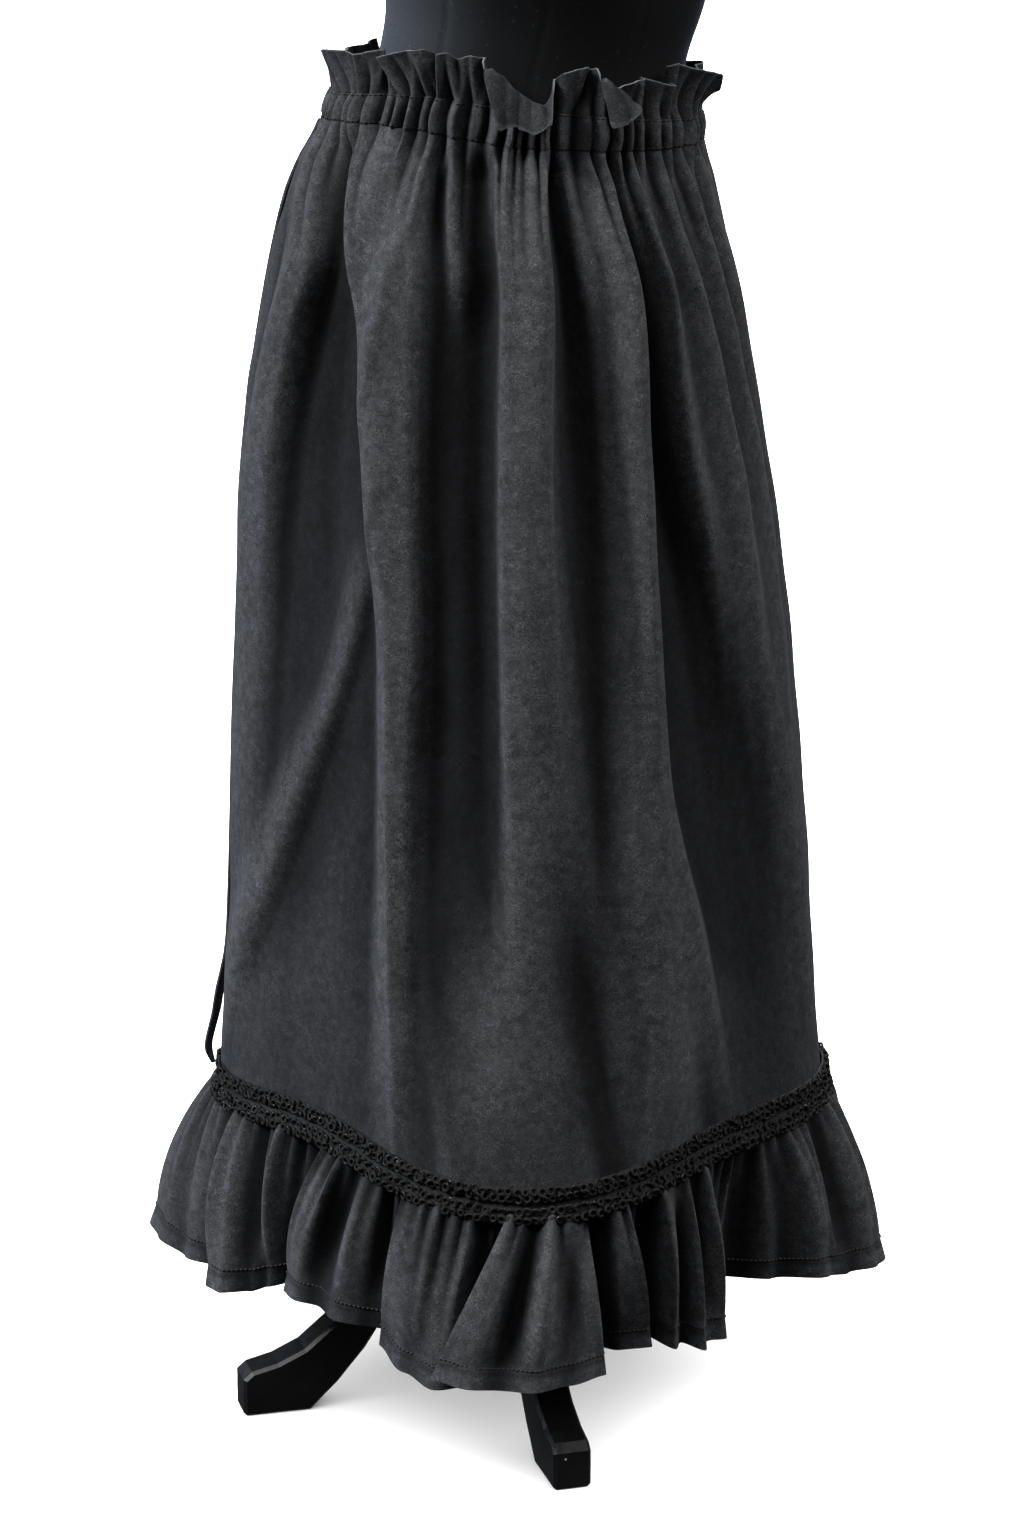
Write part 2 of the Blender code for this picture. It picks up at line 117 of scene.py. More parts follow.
# Stitches: their length, the hem's turning and the thickness of the threads.
STITCH_LENGTH = 2.8
HEM_TURNING = 17.5
HEM_THREAD = 0.7
CASING_THREAD = 0.42

# Mark of a cut edge, where a painted highlight makes the cloth pale, and the inside's painted lightness as
# a share of the outside's, which gives the inside deeper painted shade.
CUT_EDGE = 2.0
INSIDE_PAINTED_LIGHTNESS = 0.6
SHARP_EDGE = 65

# Outline of the skirt: half width, half depth, centre and the cut corners.
SECTION_COLUMNS = ("z", "width", "depth", "x", "y", "corner")
SECTIONS = (
    (1016.5, 138.0, 112.3, -6, -25, 0),
    (1000.0, 144.0, 118.0, -8, -24.5, 0),
    (985.0, 151.0, 125.0, -10, -24, 0),
    (960.0, 160.0, 138.0, -12, -22, 0),
    (925.0, 169.5, 153.0, -12, -20, 0),
    (880.0, 179.0, 166.0, -12, -18, 1),
    (820.0, 189.5, 180.0, -12, -14, 3),
    (745.0, 201.0, 193.0, -10, -10, 4),
    (655.0, 209.5, 205.0, -6, -7, 6),
    (560.0, 217.5, 214.0, -4, -4, 8),
    (460.0, 224.5, 223.0, -1, -2, 9),
    (360.0, 230.5, 234.0, 0.5, 0, 12),
    (262.0, 238.0, 250.0, 2, 0, 15.5),
)

# Lines down the front of the skirt along its ridges, edges and valleys.
# Each has its angle and its rise at these heights. An edge and the line
# under it stand close together, which folds the cloth sharply.
FOLD_HEIGHTS = (1016.5, 930, 870, 780, 660, 520, 390, 262)
FOLD_COLUMNS = ("name", "angles", "rises")
FOLD_LINES = (
    ("side_crest", (-178, -177, -176, -177, -178, -178, -178, -178), (2, 5, 5, 5, 4, 2, 1, 0)),
    ("side_valley", (-175, -165, -165, -172, -176, -176.5, -176.5, -176.5), (0, -5, -3, 2, 4, 2, 1, 0)),
    ("second_edge", (-172, -159, -161, -169, -174, -175, -175, -175), (3, 9, 9, 7, 5, 3, 1, 0)),
    ("second_crest", (-168, -153, -157, -164, -171, -172, -172, -172), (5, 12, 12, 8, 5, 3, 1, 0)),
    ("second_end", (-162, -147.5, -151, -157, -162, -164, -164, -164), (2, 6, 7, 3, -2, -1, 0, 0)),
    ("left_dip", (-155, -144, -147, -152, -155, -156, -158, -160), (-8, -16, -19, -19, -17, -10, -4, 0)),
    ("left_floor", (-151, -140, -140, -140, -141, -144, -148, -150), (-9, -18, -23, -24, -20, -13, -7, -1)),
    ("long_foot", (-147, -136, -129.5, -124.5, -122.5, -122.5, -124, -124),
     (-8, -16, -19, -14, -8, -7, -5, -1)),
    ("long_edge", (-146, -134.5, -128, -122.7, -119, -118.3, -118, -117), (4, 9, 10, 10, 8, 6, 5, 1)),
    ("long_crest", (-126, -120.5, -121, -118.5, -116.5, -116.5, -116, -115), (8, 15, 16, 15, 12, 10, 8, 2)),
    ("long_end", (-118, -113, -112, -111, -110.5, -113, -113.5, -113), (6, 11, 11, 9, 7, 5, 3, 0)),
    ("long_turn", (-117, -111.5, -110.5, -109.5, -109, -110.5, -111, -111), (-3, 0, -1, -3, -4, -5, -4, 0)),
    ("short_dip", (-113, -107, -107, -106, -105, -106, -107, -107), (-7, -9, -11, -12, -13, -13, -7, -1)),
    ("short_ridge", (-109, -103, -102, -101, -101, -101, -101, -101), (5, -3, -13, -14, -13, -12, -3, 0)),
    ("dark_dip", (-103, -96, -95.5, -95.5, -96, -96, -96, -96), (-9, -18, -21, -21, -19, -14, -2, 0)),
    ("middle_foot", (-97, -92.5, -92.5, -93, -93.5, -94, -94, -93), (-9, -17, -19, -18, -15, -9, 0, 0)),
    ("middle_left", (-95, -91, -90.5, -91, -92, -91, -90, -91), (5, 8, 8, 7, 6, 4, 3, 1)),
    ("middle_crest", (-87, -85.5, -85.5, -86, -87, -87, -88, -88), (7, 12, 13, 12, 10, 6, 3, 1)),
    ("middle_right", (-78, -77, -78, -80, -81, -80, -80, -80), (6, 9, 8, 7, 6, 3, 0, 0)),
    ("middle_under", (-77.5, -76.5, -77.3, -79, -79.5, -78, -78, -78), (-3, -3, -3, -1, 2, 1, -1, 0)),
    ("wide_foot", (-74, -73, -73, -73.5, -74, -73, -74, -74), (-9, -17, -18, -15, -9, -5, -3, 0)),
    ("wide_soft", (-70, -66, -64, -63, -63, -66, -68, -68), (4, 0, -2, 0, 3, 3, 1, 0)),
    ("wide_crest", (-61, -57.5, -58, -59, -60, -59, -56, -54), (8, 15, 17, 17, 14, 9, 5, 1)),
    ("wide_edge", (-57.5, -54, -55, -56.5, -57.5, -55, -47, -42), (7, 13, 15, 15, 12, 7, 4, 0)),
    ("wide_under", (-57.5, -54.6, -55.8, -57.3, -57.8, -54, -45.5, -40), (-3, -4, -5, -6, -5, 0, 1, 0)),
    ("deep_left", (-56, -52.5, -53, -54, -54, -49, -42, -38), (-13, -21, -26, -29, -28, -19, -8, 0)),
    ("deep_right", (-53.5, -48, -48, -46, -41, -36, -33, -32), (-11, -20, -25, -28, -28, -25, -14, -1)),
    ("narrow_foot", (-51, -46, -45.5, -43.5, -37, -31, -28, -26), (-4, -9, -13, -15, -20, -24, -15, -1)),
    ("narrow_crest", (-47, -43, -43, -40.5, -33, -26, -23, -21), (5, 8, 6, 2, -9, -21, -14, -1)),
    ("narrow_dip", (-42, -38.5, -37, -34, -29, -21, -18, -17), (-6, -5, -3, -3, -3, -14, -11, 0)),
    ("right_one", (-37, -33.5, -30, -26, -24, -17, -14, -14), (5, 8, 8, 7, 4, -5, -7, 0)),
    ("right_dip", (-31, -28, -25, -21, -19, -13, -11, -11), (-7, -5, -3, -2, 0, 0, -2, 0)),
    ("right_two", (-24, -22, -19, -13, -12, -10, -9, -9), (5, 8, 7, 5, 4, 1, 0, 0)),
    ("right_dip_two", (-18, -17, -13, -9, -8, -7, -6, -6), (-6, -4, -2, -1, 0, 2, 1, 0)),
    ("right_side", (-12, -11, -7, -5, -4, -3.5, -3, -3), (5, 7, 6, 5, 4, 3, 2, 0)),
)

# The back repeats the lines between two angles, turned and a little lower.
BACK_TURN = 186
BACK_SHARE = 0.85
BACK_FIRST = -173
BACK_LAST = -4

# Soft ridges and troughs that cross the lines above.
CREASE_COLUMNS = ("name", "angles", "rises", "left", "right")
CREASES = (
    ("diagonal", (-112, -112, -115, -119, -128, -146, -162, -178), (0, 0, 0, 2, 9, 11, 8, 2), 17, 4),
    ("low_ridge", (-66, -66, -66, -66, -66, -65, -61, -58), (0, 0, 0, 0, 0, 2, 5, 3), 7, 9),
    ("front_trough", (-84, -84, -84, -84, -84, -82, -78, -74), (0, 0, 0, 0, 0, -1, -8, -5), 8, 7),
    ("front_swell", (-92, -92, -92, -92, -92, -92, -93, -97), (0, 0, 0, 0, 0, 0, 4, 2), 10, 8),
    ("top_glint", (-112, -118, -121, -126, -128, -128, -128, -128), (5, 5, 4, 1, 0, 0, 0, 0), 3.5, 2.5),
    ("top_trough", (-122, -127, -128, -130, -130, -130, -130, -130), (-5, -7, -5, -1, 0, 0, 0, 0), 6, 5),
    ("middle_trough", (-89, -86, -86, -86, -86, -86, -86, -86), (-7, -6, -3, 0, 0, 0, 0, 0), 3, 2.5),
    ("middle_glint", (-81, -80, -81, -82, -82, -82, -82, -82), (4, 4, 3, 1, 0, 0, 0, 0), 3, 2.5),
    ("wide_trough", (-64, -62, -62, -62, -62, -62, -62, -62), (-6, -5, -2, 0, 0, 0, 0, 0), 3, 3),
    ("trim_pull", (-66, -66, -66, -66, -66, -66, -62, -66), (0, 0, 0, 0, 0, 0, 1, 5), 3, 2.5),
    ("trim_pull_two", (-104, -104, -104, -104, -104, -104, -108, -103), (0, 0, 0, 0, 0, 0, 1, 4), 3, 3),
    ("front_tuck", (-76, -76, -76, -76, -76, -76, -79, -77), (0, 0, 0, 0, 0, 0, 0, 4), 4, 3),
    ("right_tuck", (-49, -49, -49, -49, -49, -49, -50, -47), (0, 0, 0, 0, 0, 0, -1, -4), 5, 4),
    ("tie_rest", (172, 172, 172, 172, 172, 172, 172, 172), (8, 7, 6, 5, 3, 2, 1, 0), 9, 7),
    ("back_sweep", (70, 70, 70, 66, 60, 50, 42, 36), (0, 0, 0, 1, 6, 7, 4, 1), 4, 16),
    ("back_low", (120, 120, 120, 120, 120, 118, 112, 104), (0, 0, 0, 0, 0, 3, 5, 2), 6, 10),
)

# Lines down the hem ruffle from its seam to its edge, with a swell or a
# dent half way down.
RUFFLE_COLUMNS = ("name", "seam", "hem", "radius", "z", "swell")
RUFFLE_LINES = (
    ("left_seam", -180, -180, 292, 119, 3),
    ("left_slope", -171, -173, 270, 115, 2),
    ("left_hidden", -164, -166, 246, 116, -4),
    ("corner_under", -161, -159, 250, 114, -4),
    ("corner_edge", -161.5, -161.5, 263, 112, 5),
    ("corner_flat", -158, -157, 258, 112, 1),
    ("trough", -153, -154.5, 234, 113, -6),
    ("left_panel", -148, -153, 222, 117, 4),
    ("left_end", -141, -150.5, 204, 121, -2),
    ("second_under", -134, -144, 205, 124, -6),
    ("second_edge", -132, -146.5, 223, 124, 6),
    ("second_crest", -128, -140, 229, 125, 5),
    ("second_crease", -124, -135, 221, 124, -5),
    ("second_mid", -120, -129, 228, 121, 4),
    ("third_hidden", -114, -119.5, 217, 119, -5),
    ("third_under", -111, -114.5, 220, 118, -6),
    ("third_edge", -112, -117, 240, 117, 5),
    ("third_crest", -106, -110, 258, 106, 4),
    ("low_tip", -99, -104, 268, 99, 2),
    ("low_back", -95, -98, 256, 100, -5),
    ("panel_hidden", -91, -100, 253, 105, -8),
    ("panel_edge", -92, -104.5, 277, 112, 6),
    ("panel_one", -90, -97.5, 285, 109, 6),
    ("panel_crease", -88, -93.5, 279, 107, -3),
    ("panel_two", -85, -88, 286, 108, 5),
    ("panel_three", -82, -82.5, 275, 108, 0),
    ("panel_right", -79.5, -75.5, 264, 110, 4),
    ("panel_under", -79.7, -76.5, 248, 112, -3),
    ("valley", -77.5, -75, 218, 114, -8),
    ("pleat_left", -75.5, -71, 229, 113, 4),
    ("pleat_right", -72, -64, 233, 113, 5),
    ("pleat_under", -72, -66, 219, 114, -3),
    ("dark_valley", -67, -63.5, 208, 114, -8),
    ("ridge_one", -61.5, -60.5, 242, 111, 4),
    ("ridge_dip", -59.5, -58, 231, 111, -5),
    ("ridge_two", -57, -55.5, 251, 108, 4),
    ("ridge_dip_two", -55, -53, 237, 109, -5),
    ("ridge_three", -52.5, -49.5, 246, 110, 4),
    ("front_end", -50, -48.5, 222, 112, -2),
    ("right_hidden", -44, -40, 188, 118, -3),
    ("right_valley", -38, -30, 181, 121, -4),
    ("right_mid", -31, -23, 218, 118, 0),
    ("right_panel", -25, -17, 256, 115, 4),
    ("right_line", -16, -13, 268, 112, -5),
    ("right_ridge", -11, -8, 289, 110, 4),
    ("right_crest", -5, -4, 295, 109, 3),
    ("right_seam", 0, 0, 288, 110, 1),
    ("back_dip_1", 9, 10, 258, 115, -4),
    ("back_edge_1", 15, 17, 270, 113, 4),
    ("back_1", 21, 22, 291, 111, 4),
    ("back_side_1", 26, 29, 262, 113, -3),
    ("back_dip_2", 34, 35, 234, 118, -5),
    ("back_under_2", 38, 40, 240, 117, -4),
    ("back_edge_2", 37.5, 39, 252, 116, 4),
    ("back_2", 46, 48, 279, 112, 4),
    ("back_side_2", 53, 54, 258, 114, 0),
    ("back_dip_3", 60, 60, 236, 116, -5),
    ("back_edge_3", 65, 65.5, 254, 113, 3),
    ("back_crease_3", 68, 69, 262, 111, -3),
    ("back_3", 72, 73, 285, 108, 4),
    ("back_side_3", 78, 79, 264, 109, 0),
    ("back_dip_4", 85, 85, 246, 110, -5),
    ("back_under_4", 89, 90, 250, 109, -4),
    ("back_edge_4", 88.5, 88.5, 264, 108, 4),
    ("back_4", 96, 97, 287, 106, 4),
    ("back_side_4", 103, 103, 262, 109, -2),
    ("back_dip_5", 110, 110, 234, 114, -5),
    ("back_edge_5", 116, 116, 256, 112, 3),
    ("back_5", 122, 122, 277, 110, 4),
    ("back_side_5", 128, 129, 256, 113, -3),
    ("back_dip_6", 134, 134, 236, 116, -5),
    ("back_under_6", 138, 139, 242, 115, -4),
    ("back_edge_6", 137.5, 137.5, 256, 114, 4),
    ("back_6", 146, 147, 287, 112, 4),
    ("back_side_6", 153, 154, 264, 115, -2),
    ("back_dip_7", 161, 160, 246, 118, -4),
    ("back_edge_7", 168, 167, 270, 119, 3),
    ("left_crest", 176, 175, 302, 122, 4),
)

# Lines up the free frill from the casing to its cut edge. The bend is the
# place half way up, where a flop turns over to hang outside.
FRILL_COLUMNS = ("name", "base", "tip", "out", "up", "bend_out", "bend_up")
FRILL_LINES = (
    ("left_seam", -180, -180, 9, 26, 4, 13),
    ("crest_one", -163, -172, 12, 31, 5, 15),
    ("crest_one_right", -157, -160, 6, 31, 1, 15),
    ("dip_one", -155, -156, -1, 27, -2, 13),
    ("three_left", -152, -151, 10, 28, 4, 14),
    ("three_right", -144, -140, 3, 32, 1, 15),
    ("four_hidden", -141, -144, -2, 27, -3, 13),
    ("four_left", -134, -141, 11, 26, 5, 13),
    ("four_mid", -128, -130, 6, 32, 0, 16),
    ("four_ridge", -123, -126, 11, 33, 8, 16),
    ("four_right", -121, -123.5, 6, 34, 4, 17),
    ("four_turn", -120.5, -121.5, -1, 31, -2, 14),
    ("dip_two", -120, -120.3, -3, 28, -4, 13),
    ("five_left", -119, -118, 11, 32, 7, 16),
    ("five_right", -112, -115, 7, 34, 5, 17),
    ("dip_three", -110.5, -113, -2, 29, -3, 14),
    ("recessed_ridge", -107, -107, 5, 34, 4, 17),
    ("recessed_right", -103, -103, -2, 33, -3, 15),
    ("flop_back", -101.5, -102.3, 2, 34, -1, 17),
    ("flop_left", -100, -102, 12, 32, 8, 20),
    ("flop_side", -98, -98.5, 22, 11, 15, 28),
    ("flop_tip", -94, -95.5, 27, -14, 16, 22),
    ("flop_crease", -90, -91, 22, -10, 11, 13),
    ("flop_lip", -85, -84.5, 28, -15, 13, 5),
    ("flop_right", -80.5, -79, 24, -7, 11, 3),
    ("roll_edge", -79, -78, 15, 12, 9, 10),
    ("roll_top", -77.5, -77, 11, 21, 6, 13),
    ("roll_inside", -76.5, -75, -2, 23, -3, 12),
    ("six_left", -74, -73.5, 4, 28, 1, 14),
    ("six_right", -67.5, -64.5, 9, 35, 5, 17),
    ("six_dip", -66, -63, -3, 34, -4, 16),
    ("seven", -62, -60.5, -2, 33, -2, 16),
    ("flop_two_start", -60, -61, 7, 35, 5, 18),
    ("flop_two_side", -58.5, -60.8, 20, 14, 11, 27),
    ("flop_two_left", -57, -60, 25, -7, 13, 25),
    ("flop_two_mid", -52, -54.5, 26, -2, 12, 18),
    ("flop_two_right", -47.5, -49.5, 24, 8, 11, 9),
    ("eight_back", -47, -52, 0, 20, -3, 11),
    ("eight_v", -43.5, -43, 7, 29, 4, 14),
    ("eight_turn", -42, -40.5, -2, 30, -3, 14),
    ("eight_right", -36, -36, 2, 27, -2, 12),
    ("nine", -31, -30, 9, 24, 4, 11),
    ("nine_dip", -30, -29.5, -1, 28, -2, 12),
    ("ten_left", -29, -32, 3, 38, 0, 17),
    ("ten", -27, -29, 10, 41, 6, 19),
    ("ten_turn", -25, -27, 4, 40, -3, 17),
    ("flop_three_dip", -20, -20, 10, 36, 0, 16),
    ("flop_three", -10, -9, 22, 30, 9, 15),
    ("flop_three_low", -7, -6, 18, 16, 8, 11),
    ("flop_three_back", -5, -6, 4, 26, 0, 13),
    ("right_seam", 0, 0, -1, 34, -2, 16),
    ("back_1", 8, 9, 9, 35, 5, 17),
    ("back_1_turn", 11, 12, 1, 34, 0, 16),
    ("back_2", 17, 18, -2, 32, -3, 15),
    ("back_3", 24, 24, 9, 33, 5, 19),
    ("back_flop_1", 29, 29, 18, 11, 9, 21),
    ("back_flop_1_end", 36, 37, 18, 8, 9, 19),
    ("back_4", 40, 40, 3, 34, 1, 16),
    ("back_5", 48, 48, -2, 33, -3, 15),
    ("back_6", 55, 54, 9, 35, 5, 17),
    ("back_6_turn", 57, 56, 1, 34, 0, 16),
    ("back_7", 63, 63, -2, 33, -3, 15),
    ("back_8", 69, 68, 8, 35, 4, 17),
    ("back_9", 76, 76, 9, 33, 6, 19),
    ("back_flop_2", 80, 79, 22, -5, 11, 18),
    ("back_flop_2_end", 88, 89, 21, -9, 10, 15),
    ("back_10", 92, 92, 5, 34, 2, 17),
    ("back_11", 101, 101, -2, 32, -3, 15),
    ("back_12", 107, 106, 9, 34, 5, 17),
    ("back_12_turn", 109, 108.5, 1, 33, 0, 16),
    ("back_13", 115, 115, -2, 32, -3, 15),
    ("back_14", 122, 121, 8, 33, 4, 16),
    ("back_15", 130, 130, 9, 31, 6, 18),
    ("back_flop_3", 135, 134, 17, 12, 9, 20),
    ("back_flop_3_end", 142, 143, 17, 9, 9, 18),
    ("back_16", 147, 147, 4, 29, 2, 14),
    ("back_17", 155, 155, -1, 26, -2, 13),
    ("back_18", 162, 161, 8, 25, 4, 12),
    ("back_18_turn", 164, 163.5, 1, 25, 0, 12),
    ("back_19", 171, 171, 0, 25, -1, 12),
)

# Tie end on the left side: height, stand off the cloth and share of width.
TIE_COLUMNS = ("z", "stand", "width")
TIE = (
    (1012, 0.7, 0.7),
    (985, 0.7, 0.8),
    (925, 0.6, 0.95),
    (820, 0.6, 1.0),
    (655, 0.6, 1.0),
    (460, 0.6, 1.0),
    (400, 0.9, 1.0),
    (355, 2.2, 1.0),
    (320, 8.0, 1.0),
    (300, 10.2, 1.0),
    (280, 14.0, 0.9),
    (268, 15.0, 0.65),
    (256, 10.5, 0.2),
)
TIE_ANGLE = 172.0
TIE_SPAN = 5.2

# Braid across its width: height over the seam and stand off the cloth. It
# flares below the seam, and its loops run in two rows above and below.
BRAID_COLUMNS = ("up", "out")
BRAID_PROFILE = (
    (12.5, 1.2),
    (11.0, 3.2),
    (7.5, 4.4),
    (3.5, 4.0),
    (0.0, 2.6),
    (-3.5, 4.2),
    (-9.0, 5.2),
    (-13.5, 4.4),
    (-15.8, 2.0),
)
BRAID_LOOPS = (
    ("upper", ((9.6, 4.4), (4.6, 4.8))),
    ("lower", ((-4.8, 5.4), (-11.2, 5.8))),
)
BRAID_BACK = 0.7
BRAID_FLARE = 0.28
LOOP_PITCH = 6.3

# Dress form, from its base to its neck.
FORM_COLUMNS = ("z", "width", "depth", "x", "y")
FORM = (
    (700, 112, 86, -9, -26),
    (712, 133, 104, -9, -26),
    (760, 143, 114, -9, -26),
    (830, 147, 119, -7, -26),
    (890, 143, 117, -4, -26),
    (940, 134, 111, -1, -26),
    (970, 128, 105, 1.5, -25.5),
    (995, 120.8, 101, 3, -25),
    (1030, 116.5, 97, 5, -25),
    (1067, 114.8, 95, 8.7, -26),
    (1107, 118, 98, 18, -27),
    (1160, 127, 107, 21, -31),
    (1230, 140, 122, 21, -36),
    (1290, 148, 126, 21, -36),
    (1345, 154, 110, 21, -28),
    (1395, 160, 92, 21, -22),
    (1430, 146, 80, 21, -20),
    (1452, 112, 68, 21, -19),
    (1468, 76, 58, 21, -19),
    (1485, 57, 53, 21, -19),
    (1520, 52, 51, 21, -20),
)
FORM_SEAMS = (-172, -127, -90, -53, -8, 53, 90, 127)
FORM_TOP = 1519.5
FORM_BASE = 700.6
FORM_WALL = 8

# Soft suns: bearing from the front and height in degrees, strength, colour,
# spread in degrees and the group that each one lights.
LIGHT_COLUMNS = ("name", "bearing", "height", "strength", "colour", "spread", "lights")
LIGHTS = (
    ("key", -68, 42, 5.2, (0.98, 0.99, 1.0), 20, "pieces"),
    ("left_rim", -112, 20, 1.4, (0.72, 0.84, 1.0), 30, "pieces"),
    ("right", 78, 40, 2.6, (1.0, 0.99, 0.98), 30, "pieces"),
    ("front", -10, 60, 0.9, (1.0, 1.0, 1.0), 40, "pieces"),
    ("back", 165, 45, 2.6, (0.97, 0.98, 1.0), 40, "pieces"),
    ("form_edge", -106, 12, 9.0, (0.70, 0.84, 1.0), 12, "form"),
    ("floor", 0, 88, 15.0, (1, 1, 1), 150, "floor"),
)

# The world lights the part only dimly. The floor lies just under the feet.
WORLD_COLOUR = (0.92, 0.96, 1.0, 1)
WORLD_STRENGTH = 0.035
FLOOR_SIZE = 60
FLOOR_PLACE = (0, 10, -0.0005)

# Colours of the marked places: painted shade in the cloth's hollows, a painted highlight on its cut edges,
# lint on the form's cover and wood under chipped paint.
PAINTED_SHADE_COLOUR = (0.0015, 0.0015, 0.0018)
PAINTED_EDGE_HIGHLIGHT = (0.16, 0.165, 0.175)
LINT = (0.05, 0.055, 0.065)
BARE_WOOD = (0.42, 0.40, 0.37)

# Camera: place in metres, degrees that it looks down, lens and sensor.
CAMERA_PLACE = (-0.0062, -3.35, 1.46)
CAMERA_DOWN = 15.8
CAMERA_LENS = 104.2
CAMERA_SENSOR = 36


def curve(keys, values, at):
    """Values at places among rising or falling keys, on a smooth curve."""
    keys = np.asarray(keys, float)
    values = np.asarray(values, float)
    if keys[0] > keys[-1]:
        keys = keys[::-1]
        values = values[::-1]
    slopes = np.empty(len(keys))
    slopes[1:-1] = (values[2:] - values[:-2]) / (keys[2:] - keys[:-2])
    slopes[0] = (values[1] - values[0]) / (keys[1] - keys[0])
    slopes[-1] = (values[-1] - values[-2]) / (keys[-1] - keys[-2])
    at = np.clip(np.asarray(at, float), keys[0], keys[-1])
    i = np.clip(np.searchsorted(keys, at, side="right") - 1, 0, len(keys) - 2)
    span = keys[i + 1] - keys[i]
    t = (at - keys[i]) / span
    start = (2 * t**3 - 3 * t**2 + 1) * values[i] + (t**3 - 2 * t**2 + t) * span * slopes[i]
    end = (3 * t**2 - 2 * t**3) * values[i + 1] + (t**3 - t**2) * span * slopes[i + 1]
    return start + end


def bump(offset, left, right):
    """A smooth rise of height one that ends at its two reaches."""
    reach = np.where(offset < 0, left, right)
    share = np.minimum(np.abs(offset) / reach, 1)
    return 0.5 * (1 + np.cos(np.pi * share))


def ease(share):
    """Smooth step from nought to one."""
    share = np.clip(share, 0, 1)
    return share * share * (3 - 2 * share)


def turn_between(a, b):
    """Signed difference of angles in degrees."""
    return (a - b + 180) % 360 - 180


def tilt(angle):
    """Lift of the waist line in millimetres: it sits lower at the wearer's left."""
    return -8.5 * np.cos(np.radians(angle)) + 6.0 * bump(turn_between(angle, -132), 50, 45)


def trim_height(angle):
    """Height in millimetres of the seam between skirt and ruffle."""
    rise = 9.0 * bump(turn_between(angle, -142), 35, 35)
    dip = 16.0 * bump(turn_between(angle, -88), 48, 48)
    back = 4.0 * bump(turn_between(angle, 90), 70, 70)
    return TRIM + rise - dip - back


def body_point(angle, z, rise):
    """Points in millimetres on the skirt's outside at angles and heights."""
    keys = [row[0] for row in SECTIONS]
    width, depth, x, y, corner = (curve(keys, [row[i] for row in SECTIONS], z) for i in range(1, 6))
    turn = np.radians(angle)
    ellipse = 1 / np.hypot(np.cos(turn) / (width - corner), np.sin(turn) / (depth - corner))
    radius = ellipse + corner * np.cos(4 * turn) + rise
    low = ease((BEND_START - z) / (BEND_START - TRIM))
    high = np.clip((z - TILT_START) / TILT_REACH, 0, 1)
    lift = high * tilt(angle) + low * (trim_height(angle) - TRIM)
    return np.stack([x + radius * np.cos(turn), y + radius * np.sin(turn), z + lift], axis=-1)


class Gathers:
    """Unevenly spaced gathers round the waist or the ruffle's seam."""

    def __init__(self, count, phase):
        k = np.arange(count)
        gaps = 1 + 0.30 * np.sin(2.4 * k + phase) + 0.22 * np.sin(5.3 * k + 1.1) + 0.12 * np.sin(0.7 * k)
        places = -180 + 360 * np.cumsum(gaps) / np.sum(gaps) - 2.0
        sizes = 1 + 0.25 * np.sin(1.9 * k + phase) + 0.15 * np.sin(4.1 * k)
        reaches = 1 + 0.45 * np.sin(3.1 * k + 0.4) + 0.25 * np.sin(1.3 * k + phase)
        self.places = np.concatenate([places[-1:] - 360, places, places[:1] + 360])
        self.sizes = np.concatenate([sizes[-1:], sizes, sizes[:1]])
        self.reaches = np.concatenate([reaches[-1:], reaches, reaches[:1]])

    def at(self, angle):
        """Wave from nought in a valley to about one on a ridge, and its reach."""
        angle = (np.asarray(angle, float) + 180) % 360 - 180
        i = np.clip(np.searchsorted(self.places, angle, side="right") - 1, 0, len(self.places) - 2)
        t = (angle - self.places[i]) / (self.places[i + 1] - self.places[i])
        size = self.sizes[i] + (self.sizes[i + 1] - self.sizes[i]) * t
        reach = self.reaches[i] + (self.reaches[i + 1] - self.reaches[i]) * t
        return np.abs(np.cos(np.pi * t)) ** 0.85 * size, reach


WAIST_GATHERS = Gathers(62, 0.3)
SEAM_GATHERS = Gathers(112, 1.7)


def waist_pleat(wave):
    """Rise in millimetres of the waist's gathers, from their wave."""
    return PLEAT_RISE * wave - PLEAT_SINK


def softened(grid, passes, wrap):
    """Grid of points with its corners along the rows rounded off."""
    grid = grid.copy()
    for _ in range(passes):
        if wrap:
            before = np.roll(grid, 1, axis=1)
            after = np.roll(grid, -1, axis=1)
            grid = (before + 2 * grid + after) / 4
        else:
            middle = (grid[:, :-2] + 2 * grid[:, 1:-1] + grid[:, 2:]) / 4
            grid[:, 1:-1] = middle
    return grid


def outward(grid, wrap):
    """Outward direction at each point of a grid that runs round the part."""
    if wrap:
        across = np.roll(grid, -1, axis=1) - np.roll(grid, 1, axis=1)
    else:
        across = np.gradient(grid, axis=1)
    down = np.gradient(grid, axis=0)
    normal = np.cross(down, across)
    length = np.linalg.norm(normal, axis=-1, keepdims=True)
    return normal / np.maximum(length, 1e-9)


